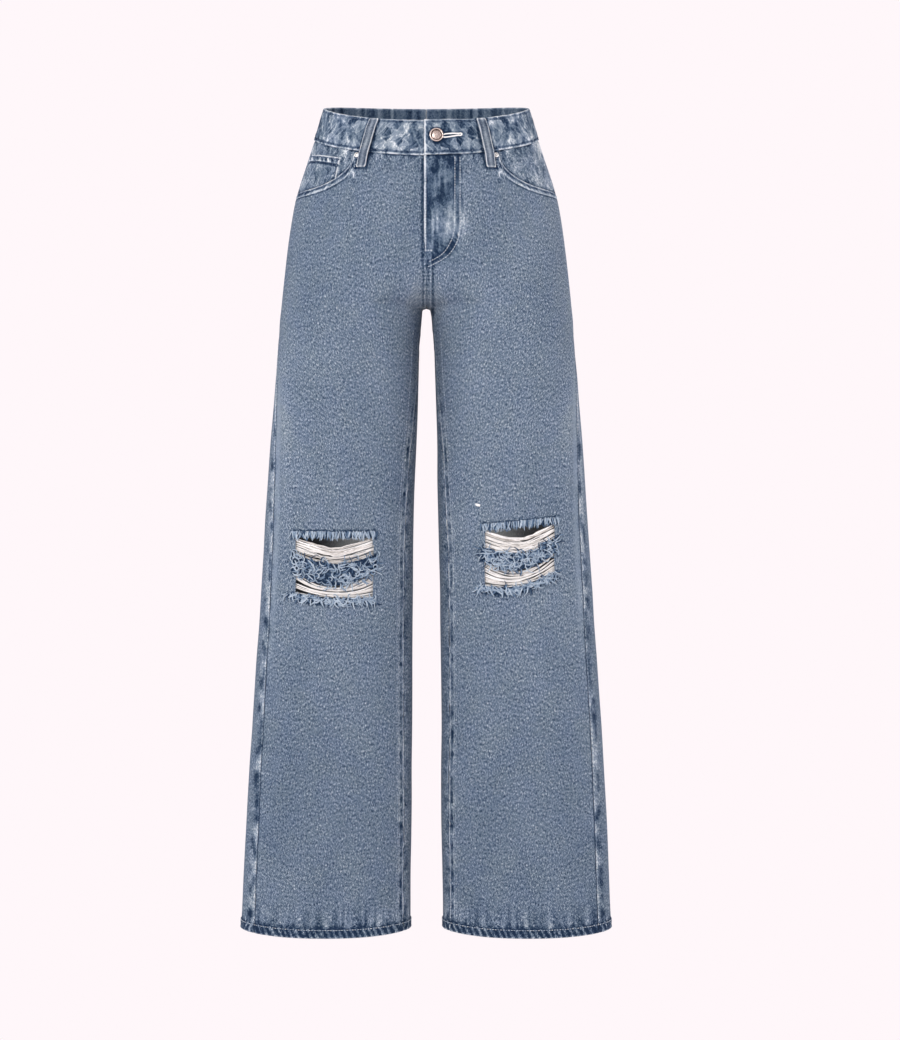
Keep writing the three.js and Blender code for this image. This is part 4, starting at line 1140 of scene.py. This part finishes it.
def coinPocketPiece():
    # a patch from its sloping top down to the pocket's mouth: each column leans with its inner edge
    leg = rightLeg
    t = np.linspace(0, 1, int(70 * fine))[:, None]
    share = np.linspace(0, 1, int(80 * fine))[None]
    innerX = coin["innerX"] + coin["lean"] * t
    x = mixed(innerX, coin["outerX"], share)
    for _ in range(10):
        height = mixed(coinTop(x), scoopHeight(x) + 0.6, t)
        x = mixed(innerX, handX(sideTurn(height) - 0.02, height), share)
    turn = turnAtX(x, height)
    fromTop = height[:1] - height
    fromInner = x - innerX
    fromOuter = handX(sideTurn(height) - 0.02, height) - x
    roll = np.minimum(near(fromTop, 0, 0.9) + near(fromInner, 0, 0.9), 1)
    bandPucker = softNoise(x / 2.6, height / 12, 95) * near(fromTop, 5, 3)
    edgePucker = softNoise(x / 8, height / 3.0, 96) * near(fromInner, 4.5, 3)
    wear = softNoise(x / 7, height / 16, 97)
    grooves = near(fromTop, 2.2, 0.9) + near(fromTop, 8.6, 0.9) + near(fromInner, 2.2, 0.9)
    lift = facingLift(turn, height) + form["seam"] + coin["wall"] - 1.2 * roll - 0.35 * grooves
    lift = lift + 0.4 * bandPucker + 0.35 * edgePucker - 1.9 * (1 - eased(fromOuter, 0, 10))
    shade = 2.0 * bandPucker + 1.2 * edgePucker + 0.5 * wear + 0.02
    shade = shade + 2.3 * near(np.minimum(fromTop, fromInner), 0.5, 1.1) - 1.8 * grooves
    shade = shade + 1.1 * near(fromTop, 7.0, 0.9) - 1.6 * near(fromTop, 10.2, 1.0)
    # painted shadow under the front's edge at the pocket's mouth
    shade = shade - 0.9 * fading(height - scoopHeight(x), 3)
    points = onCloth(leg, turn, height, lift)
    values = dict(shade=shade, calm=0.2, worn=0.6)
    piece = gridPiece("coin_pocket_patch", points, washedDenim, values, leg < 0)
    return dressed(piece, "coin_pocket")


facings = {leg: facingPiece(leg) for leg in (rightLeg, leftLeg)}
coinPatch = coinPocketPiece()

# Back pockets: a five-cornered patch on the seat, its edges turned under
patch = dict(centreX=88, top=-128, topWidth=142, bottomWidth=128, height=138, point=16, lift=1.5)


def backPocketPiece(leg):
    # rows across a patch that narrows downward, its lower edge pointed in the middle
    t = np.linspace(0, 1, int(86 * fine))[:, None]
    share = np.linspace(0, 1, int(86 * fine))[None]
    across = 2 * share - 1
    half = mixed(patch["topWidth"], patch["bottomWidth"], t) / 2
    x = patch["centreX"] + across * half
    height = patch["top"] - patch["height"] * t - patch["point"] * (1 - np.abs(across)) * t
    turn = turnAtX(x, height, True)
    fromTop = patch["top"] - height
    fromSide = half * (1 - np.abs(across))
    fromBottom = (1 - t) * patch["height"] + 0 * across
    edge = np.minimum(np.minimum(fromTop, fromSide), fromBottom)
    roll = near(edge, 0, 1.0)
    pucker = softNoise((x + height) / 4.2, (x - height) / 9, 101 + leg) * near(edge, 3, 6)
    wear = softNoise(x / 26, height / 34, 103 + leg)
    lift = patch["lift"] - 1.2 * roll + 0.45 * pucker + 0.5 * np.sin(np.pi * share) * np.sin(np.pi * t)
    shade = pucker + 0.35 * wear + 0.9 * roll
    points = onCloth(leg, turn, height, lift)
    values = dict(shade=shade, worn=0.35 * near(edge, 2, 8))
    piece = gridPiece("back_pocket_patch_" + sideNames[leg], points, washedDenim, values, leg > 0)
    return dressed(piece, "back_pocket_" + sideNames[leg])


backPockets = {leg: backPocketPiece(leg) for leg in (rightLeg, leftLeg)}
print("pockets ready")


# Belt loops: folded strips that stand off the band between their two sewn ends
def loopLift(t):
    # down from the band to the panel near its lower end, and off the band between its ends
    onBand = waistband["proud"] * eased(1 - t, 0.06, 0.28)
    return form["seam"] + onBand + loop["standOff"] * eased(t, 0.02, 0.22) * eased(1 - t, 0.02, 0.3)


def beltLoopPiece(place, seed):
    # a flat section with round edges, carried from the loop's upper end to its lower end
    leg, behind = place["leg"], place["behind"]
    top, bottom = loopRun(place)
    t = np.linspace(0, 1, int(60 * fine))[None]
    angle = np.linspace(0, 2 * np.pi, 28, endpoint=False)[:, None]
    across = np.sign(np.cos(angle)) * np.abs(np.cos(angle)) ** 0.35 * loop["width"] / 2
    through = np.sign(np.sin(angle)) * np.abs(np.sin(angle)) ** 0.8 * loop["wall"] / 2
    cap = eased(t, 0, 0.012) * eased(1 - t, 0, 0.012)
    height = mixed(top, bottom, t) + 0 * across
    x = mixed(place["topX"], place["bottomX"], t) + across * (0.85 + 0.15 * cap)
    turn = turnAtX(x, height, behind)
    along = t * (top - bottom)
    pucker = softNoise(across / 5, along / 5, seed) * 0.3
    lift = loopLift(t) + loop["wall"] / 2 + through * cap + pucker * (through > 0)
    lift = lift + overlapLift(leg, turn, height)
    edges = np.abs(across) / (loop["width"] / 2)
    ends = near(along, 0.6, 1.2) + near(along, top - bottom - 0.6, 1.2)
    shade = 0.35 * softNoise(across / 3, along / 7, seed + 1) + ends
    shade = shade + 1.5 * eased(edges, 0.8, 1.0) - 1.1 * near(edges, 0.62, 0.1)
    points = onCloth(leg, turn, height, lift)
    values = dict(shade=shade, calm=0.3)
    piece = gridPiece(place["name"] + "_strip", points, paleDenim, values, (leg < 0) != behind, closed=True)
    return dressed(piece, place["name"])


for i, place in enumerate(beltLoops):
    beltLoopPiece(place, 111 + 3 * i)
print("belt loops ready")


# Button and rivets
def turnedPiece(name, look, leg, lift, material):
    # a profile turned round the cloth's outward direction: each row is a ring of one radius and rise
    height = np.array(look["height"])
    turn = turnAtX(look["x"], height)
    outward = formNormal(leg, turn, height)
    centre = onCloth(leg, turn, height, lift + overlapLift(leg, turn, height))
    across = np.cross(outward, [0, 0, 1.0])
    across /= np.linalg.norm(across)
    up = np.cross(across, outward)
    angle = np.linspace(0, 2 * np.pi, 65)[None, :, None]
    radius, rise, tone = np.array(look["profile"]).T[:, :, None, None]
    ring = np.cos(angle) * across + np.sin(angle) * up
    points = centre + look["radius"] * radius * ring + rise * outward
    return gridPiece(name, points, material, dict(shade=tone[..., 0]))


buttonCap = turnedPiece("waist_button_cap", button, leftLeg, waistband["proud"] + form["seam"], copper)
dressed(buttonCap, "waist_button")
for leg in (rightLeg, leftLeg):
    rivetCap = turnedPiece("pocket_rivet_cap_" + sideNames[leg], rivet, leg, form["seam"], nickel)
    dressed(rivetCap, "pocket_rivet_" + sideNames[leg])
print("metal pieces ready")

# Bared weft threads across each gap: bundles that start level and sag into the lower part, with a dark slot
# above them
weft = dict(bundles=9, each=5, points=30, radius=0.44, sink=3.0, slack=dict(upper=0.42, lower=0.2))
random = np.random.default_rng(7)
knots = {leg: [] for leg in (rightLeg, leftLeg)}


def perBundle(values):
    # one value for each bundle, given to each of its threads
    return np.repeat(values, weft["each"])[:, None]


for leg in (rightLeg, leftLeg):
    for gapName, (upper, lower) in zip(("upper", "lower"), gaps):
        bundles = weft["bundles"]
        count = bundles * weft["each"]
        place = np.arange(bundles)
        starts = (place + random.uniform(0.1, 0.9, bundles)) / bundles
        ends = (place + random.uniform(-0.6, 1.6, bundles)) / bundles
        t = np.linspace(0, 1, weft["points"])[None]
        level = mixed(perBundle(starts), perBundle(ends), t)
        level = np.clip(level + random.normal(0, 0.022, (count, 1)), 0, 1)
        # some bundles hang in a curve and some in a blunt point
        curve = (4 * t * (1 - t)) ** perBundle(random.uniform(0.75, 1.15, bundles))
        point = (1 - np.sqrt((2 * t - 1) ** 2 + 0.02)) / (1 - 0.02**0.5)
        sag = mixed(curve, np.maximum(point, 0), perBundle(random.uniform(0.1, 0.9, bundles)))
        slack = weft["slack"][gapName] + perBundle(random.normal(0, 0.05, bundles))
        depth = mixed(level, slack + (1 - slack) * level, sag)
        depth = depth + 0.07 * softNoise(t * 7 + starts[0] * 40, np.arange(count)[:, None] * 1.7, 121) * sag
        share = mixed(-0.05, 1.05, t) + 0 * level
        held = np.clip(share, 0, 1)
        height = mixed(tornHeight(leg, upper, held), tornHeight(leg, lower, held), np.clip(depth, 0.01, 1.05))
        x = mixed(rips[leg]["innerX"], rips[leg]["outerX"], share)
        lift = -weft["sink"] + 2.6 * sag * perBundle(random.uniform(-0.3, 1.0, bundles))
        lift = lift + random.normal(0, 0.35, (count, 1)) * sag
        path = onCloth(leg, turnAtX(x, height), height, lift)
        radius = weft["radius"] * random.uniform(0.75, 1.3, (count, 1)) * np.ones((1, weft["points"]))
        shade = perBundle(random.uniform(0.35, 0.85, bundles))[:, 0] + random.uniform(-0.3, 0.3, count)
        name = gapName + "_" + sideNames[leg]
        piece = tubePiece("weft_threads_" + name, path, radius, 5, weftThread, shade)
        knots[leg].append(dressed(piece, "weft_" + name))
print("weft threads ready")

# Frayed blue threads along the torn edges, as curling paths: angle 0 points down, and a thread turns by its
# bend. Ends are the shares of the edge between which each leg's threads start: some trail past one end.
evenEnds = {rightLeg: (-0.05, 1.05), leftLeg: (-0.05, 1.05)}
fringes = [
    dict(
        name="top", edge="top", strands=120, length=10, radius=0.68, pale=0.66, ends=evenEnds,
        spread=0.3, bend=0.5, lift=0.5, rise=0.7, root=(8.0, 9.6),
    ),
    dict(
        name="strip", edge="stripTop", strands=340, length=10.5, radius=0.68, pale=0.5, ends=evenEnds,
        spread=3.1, bend=3.2, lift=0.4, rise=2.0, root=(-1, 1),
    ),
    dict(
        name="bottom", edge="bottom", strands=190, length=11, radius=0.72, pale=0.6,
        ends={rightLeg: (-0.04, 1.11), leftLeg: (-0.12, 1.04)},
        spread=1.1, bend=3.0, lift=0.5, rise=2.0, root=(-2.5, 2),
    ),
]
for leg in (rightLeg, leftLeg):
    for fringe in fringes:
        count = fringe["strands"]
        k = np.linspace(0, 1, 11)[None]
        place = np.arange(count)[:, None] + random.uniform(-0.4, 0.4, (count, 1))
        share = mixed(*fringe["ends"][leg], place / (count - 1))
        held = np.clip(share, 0, 1)
        x = mixed(rips[leg]["innerX"], rips[leg]["outerX"], share)
        length = fringe["length"] * random.uniform(0.7, 1.15, (count, 1))
        start = tornHeight(leg, fringe["edge"], held) + random.uniform(*fringe["root"], (count, 1))
        if fringe["name"] == "strip":
            start = mixed(start, tornHeight(leg, "stripBottom", held), random.uniform(0, 1, (count, 1)))
        spread = random.uniform(-1, 1, (count, 1)) * fringe["spread"]
        heading = spread + random.normal(0, 0.6, (count, 1)) * fringe["bend"] * k
        step = length / 10
        drift = np.cumsum(np.sin(heading) * step, axis=1)
        height = start - np.cumsum(np.cos(heading) * step, axis=1)
        pale = random.uniform(0, 1, (count, 1)) < fringe["pale"]
        rise = fringe["rise"] * random.uniform(0.5, 1, (count, 1)) * np.where(pale, 1, 0.35)
        lift = fringe["lift"] + rise * np.sin(np.pi * k * random.uniform(0.55, 1.0, (count, 1)))
        path = onCloth(leg, turnAtX(x + drift, height), height, lift)
        radius = fringe["radius"] * random.uniform(0.75, 1.25, (count, 1)) * (1 - 0.5 * k**4)
        paleTone = random.uniform(0.5, 1.0, count)
        shade = np.where(pale[:, 0], paleTone, random.uniform(0.0, 0.5, count))
        name = fringe["name"] + "_" + sideNames[leg]
        piece = tubePiece("fringe_threads_" + name, path, radius, 5, blueThread, shade)
        knots[leg].append(dressed(piece, "fringe_" + name))
# a small nick in the left thigh, with a few weft threads raised across it
nick = dict(x=62.7, height=-469, length=6.5, threads=7)
t = np.linspace(0, 1, 9)[None]
rows = (np.arange(nick["threads"])[:, None] / nick["threads"] - 0.5) * 2.6
x = nick["x"] + (t - 0.5) * nick["length"] * random.uniform(0.6, 1.0, (nick["threads"], 1))
height = nick["height"] + rows - 1.2 * (t - 0.5)
path = onCloth(leftLeg, turnAtX(x, height), height, -0.3 + 1.1 * np.sin(np.pi * t))
shade = random.uniform(0.6, 1.0, nick["threads"])
nickThreads = tubePiece("nick_threads_left", path, 0.36, 5, weftThread, shade)
knots[leftLeg].append(nickThreads)
print("fringes ready")

# Topstitching: rows of short raised stitches along each seam, joined into one mesh
stitch = dict(pitch=3.3, length=2.3, radius=0.42, rise=0.32, points=4)
stitchPaths, stitchShades = [], []


def stitchRow(leg, turn, height, lift, tone):
    # stitches at an even pitch along a line on the cloth, each a low arch
    turn, height = np.broadcast_arrays(np.asarray(turn, float), np.asarray(height, float))
    base = onCloth(leg, turn, height, lift)
    outward = formNormal(leg, turn, height)
    run = runAcross(base[None])[0]
    count = max(int(run[-1] / stitch["pitch"]), 1)
    u = np.linspace(-1, 1, stitch["points"])[None]
    at = (np.arange(count)[:, None] + 0.5) * run[-1] / count + u * stitch["length"] / 2
    points = np.stack([np.interp(at, run, base[:, i]) for i in range(3)], axis=-1)
    normals = np.stack([np.interp(at, run, outward[:, i]) for i in range(3)], axis=-1)
    stitchPaths.append(points + normals * (stitch["rise"] * (1 - 1.6 * u**4))[..., None])
    stitchShades.append(tone + random.normal(0, 0.12, count))


def stitchedOnX(leg, x, height, lift, behind, tone):
    # a row given by its distance from the centre line
    stitchRow(leg, turnAtX(x, height, behind), height, lift, tone)


def offsetInward(x, height, distance):
    # the same line moved square to itself, to the left of its direction
    dx, dh = np.gradient(x), np.gradient(height)
    size = np.hypot(dx, dh)
    return x - dh / size * distance, height + dx / size * distance


# fly
for row in flyRows:
    x, height = flyPath(row)
    turn = turnAtX(x, height)
    stitchRow(leftLeg, turn, height, flyLift(leftLeg, turn, height) + seamLift(x, height), 0.85)
height = mixed(-44.0, -158, steps)
turn = turnAtX(-0.8, height)
stitchRow(leftLeg, turn, height, flyLift(leftLeg, turn, height), 0.9)
for leg in (rightLeg, leftLeg):
    # waistband
    frontEnd = -overlap["edge"] + 2 if leg == leftLeg else -waistband["underlap"] + 2
    share = np.linspace(0, 1, 500)
    for down in (3.2, 39.6):
        turnOf = bandTurnOf(frontEnd, 0.2, share)
        height = settled(turnOf, bandLevel(down / waistband["face"]), np.zeros(500))
        turn = turnOf(height)
        stitchRow(leg, turn, height, waistband["proud"] - 0.35 + overlapLift(leg, turn, height), 0.12)
    # pocket mouth
    x = mixed(88.6, scoop["centreX"] + 2, np.linspace(0, 1, 140) ** 2)
    for distance, tone in ((2.3, 0.3), (7.0, 0.7)):
        rowX, rowHeight = offsetInward(x, scoopHeight(x), -distance)
        shown = rowX < sectionValue("side", rowHeight) - 1
        stitchedOnX(leg, rowX[shown], rowHeight[shown], -0.2, False, tone)
    # inseam and hem
    height = mixed(-250.0, -983, steps)
    for distance, tone in ((2.2, 0.45), (9.0, 0.5)):
        turn = turnAtX(handX(inseamTurn(height), height) + distance, height)
        stitchRow(leg, turn, height, 0.0, tone)
    turn = np.linspace(0, 2 * np.pi, 300)
    height = np.full(300, hem["bottom"] + hem["depth"] - 1.6)
    stitchRow(leg, turn, height + hemDip(turn, height), hem["proud"] - 0.1, 0.7)
    # yoke and back centre seam
    turnOf = backTurnOf(np.linspace(0.01, 0.99, 160))
    for above in (2.2, 7.6):
        height = settled(turnOf, lambda turn, h: yokeHeight(handX(turn, h)) + above, np.full(160, -90.0))
        stitchRow(leg, turnOf(height), height, 0.3, 0.6)
height = mixed(-30.0, -214, steps)
for x in (2.2, 7.6):
    stitchedOnX(leftLeg, np.full(160, x), height, 0.1, True, 0.6)
# back pockets
for leg in (rightLeg, leftLeg):
    for inset in (2.2, 7.6):
        top, bottom = patch["top"] - 1, patch["top"] - patch["height"]
        halfTop, halfBottom = patch["topWidth"] / 2 - inset, patch["bottomWidth"] / 2 - inset
        cornersX = [-halfTop, -halfBottom, 0, halfBottom, halfTop]
        cornersH = [top, bottom + inset, bottom - patch["point"] + inset, bottom + inset, top]
        at = np.linspace(0, 4, 400)
        x, height = np.interp(at, range(5), cornersX), np.interp(at, range(5), cornersH)
        stitchedOnX(leg, patch["centreX"] + x, height, patch["lift"] + 0.1, True, 0.65)
    for down in (2.2, 12):
        x = np.linspace(-patch["topWidth"] / 2 + 3, patch["topWidth"] / 2 - 3, 120)
        height = np.full(120, patch["top"] - down)
        stitchedOnX(leg, patch["centreX"] + x, height, patch["lift"] + 0.1, True, 0.65)
# coin pocket
for down in (2.3, 8.5):
    x = np.linspace(coin["innerX"] + 2.5, sectionValue("side", -50.0) - 11, 60)
    height = coinTop(x) - down
    turn = turnAtX(x, height)
    stitchRow(rightLeg, turn, height, facingLift(turn, height) + form["seam"] + coin["wall"], 0.3)
for inset in (2.3, 7):
    t = np.linspace(0.06, 0.96, 50)
    x = coin["innerX"] + coin["lean"] * t + inset
    height = mixed(coinTop(coin["innerX"] + inset), scoopHeight(x) + 1, t)
    turn = turnAtX(x, height)
    stitchRow(rightLeg, turn, height, facingLift(turn, height) + form["seam"] + coin["wall"], 0.3)
# belt loops
for place in beltLoops:
    top, bottom = loopRun(place)
    t = np.linspace(0.03, 0.97, 60)
    height = mixed(top, bottom, t)
    for inset in (-3.7, 3.7):
        turn = turnAtX(mixed(place["topX"], place["bottomX"], t) + inset, height, place["behind"])
        raised = overlapLift(place["leg"], turn, height)
        stitchRow(place["leg"], turn, height, loopLift(t) + loop["wall"] - 0.1 + raised, 0.05)
# buttonhole: close stitches round a slit, wider at its eyelet
around = np.linspace(0, 2 * np.pi, 80)
t = 0.5 - 0.5 * np.cos(around)
width = mixed(hole["startHalf"], hole["endHalf"], t) + hole["eyelet"] * near(t, 0.94, 0.07)
x = mixed(hole["start"], hole["end"], t)
height = hole["height"] + hole["rise"] * t + width * np.sign(np.sin(around)) * np.abs(np.sin(around)) ** 0.5
turn = turnAtX(x, height)
edge = onCloth(leftLeg, turn, height, waistband["proud"] + 0.3 + overlapLift(leftLeg, turn, height))
holeEdge = tubePiece("buttonhole_edge", edge[None], 0.9, 6, weftThread, [0.8])
# bar tacks across the ends of the fly's stitching
for x0, x1, level in ((-2.6, 7.4, -160.5), (36.5, 41.5, -139.5), (36.5, 41.5, -141.5)):
    x = np.linspace(x0, x1, 20)
    for drop in (0, 0.9):
        height = np.full(20, level - drop)
        turn = turnAtX(x, height)
        stitchRow(leftLeg, turn, height, flyLift(leftLeg, turn, height) + 0.2, 0.8)
paths = np.concatenate(stitchPaths)
taper = stitch["radius"] * (1 - 0.45 * np.linspace(-1, 1, stitch["points"]) ** 4)[None]
stitches = tubePiece("topstitching", paths, taper, 5, topstitch, np.concatenate(stitchShades))
print("topstitching ready:", len(paths), "stitches")

# Cloth sheets: the flat size that each piece was cut to, as far as it shows
sheets = [(coinPatch, (0.066, 0.058), 0.0038, facings[rightLeg], [])]
for leg in (rightLeg, leftLeg):
    sheets.append((fronts[leg], (0.25, 0.99), 0.206, bands[leg], knots[leg]))
    sheets.append((backs[leg], (0.34, 0.95), 0.312, yokes[leg], []))
    sheets.append((yokes[leg], (0.25, 0.09), 0.0172, bands[leg], []))
    sheets.append((facings[leg], (0.13, 0.09), 0.0099, bands[leg], []))
    sheets.append((backPockets[leg], (0.165, 0.155), 0.023, backs[leg], []))
    sheets.append((bands[leg], (0.385 if leg == rightLeg else 0.365, 0.043), None, fronts[leg], []))
for piece, flat, area, support, extras in sheets:
    held = "hung" if piece.name.startswith(("front", "back_panel")) else "stretched"

# Floor, light and backdrop
floorLook = dict(level=-1.36, size=14, colour="#fff7fa")
floorMesh = bpy.data.meshes.new("floor")
half = floorLook["size"]
corners = [(-half, -half, 0), (half, -half, 0), (half, half, 0), (-half, half, 0)]
floorMesh.from_pydata(corners, [], [(0, 1, 2, 3)])
floorMaterial, _, floorShader = newMaterial("pale_floor")
floorShader.inputs["Base Color"].default_value = (0, 0, 0, 1)
floorShader.inputs["Specular IOR Level"].default_value = 0.0
floorShader.inputs["Emission Color"].default_value = linear(floorLook["colour"])
floorShader.inputs["Emission Strength"].default_value = 1.0
floorShader.inputs["Roughness"].default_value = 1.0
floorMesh.materials.append(floorMaterial)
floor = bpy.data.objects.new("floor", floorMesh)
floor.location = (0, 0, floorLook["level"])
scene.collection.objects.link(floor)

world = bpy.data.worlds.new("studio")
world.use_nodes = True
scene.world = world
sky = world.node_tree
background = sky.nodes["Background"]
seen = addNode(sky, "LightPath", out="Is Camera Ray")
upward = addNode(sky, "SeparateXYZ", {0: addNode(sky, "TexCoord", out="Generated")}, "Z")
ambient = addNode(sky, "MapRange", {0: upward, 1: -0.8, 2: 0.8, 3: 0.3, 4: 0.85})
strength = addNode(sky, "Mix", {0: seen, 2: ambient, 3: 1.0})
sky.links.new(strength, background.inputs["Strength"])
background.inputs["Color"].default_value = linear(floorLook["colour"])

lamps = [
    dict(name="front_softbox", place=(-1.5, -3.0, 0.7), target=(0, 0, -0.45), size=0.9, power=50),
    dict(name="left_softbox", place=(-2.6, -0.6, 0.0), target=(0, 0, -0.4), size=1.6, power=14),
    dict(name="right_softbox", place=(2.6, -0.9, 0.0), target=(0, 0, -0.4), size=1.6, power=22),
    dict(name="back_softbox", place=(1.2, 3.0, 0.6), target=(0, 0, -0.45), size=0.9, power=32),
]
for lamp in lamps:
    light = bpy.data.lights.new(lamp["name"], "AREA")
    light.energy = lamp["power"]
    light.size = lamp["size"]
    lampObject = bpy.data.objects.new(lamp["name"], light)
    lampObject.location = lamp["place"]
    toward = [b - a for a, b in zip(lamp["place"], lamp["target"])]
    tilt = math.atan2(math.hypot(toward[0], toward[1]), -toward[2])
    lampObject.rotation_euler = (tilt, 0, math.atan2(toward[1], toward[0]) - math.pi / 2)
    scene.collection.objects.link(lampObject)
# light that gets into each leg through its open ends shows the pale inside behind the rips
kneeFill = dict(x=0.04, y=0.025, z=-0.5, size=0.03, power=0.085, colour=(1.0, 0.94, 0.88))
for leg in (rightLeg, leftLeg):
    light = bpy.data.lights.new("knee_fill_" + sideNames[leg], "POINT")
    light.energy = kneeFill["power"]
    light.color = kneeFill["colour"]
    light.shadow_soft_size = kneeFill["size"]
    lampObject = bpy.data.objects.new("knee_fill_" + sideNames[leg], light)
    lampObject.location = (leg * kneeFill["x"], kneeFill["y"], kneeFill["z"])
    scene.collection.objects.link(lampObject)
scene.view_settings.view_transform = "Standard"
print("light ready")
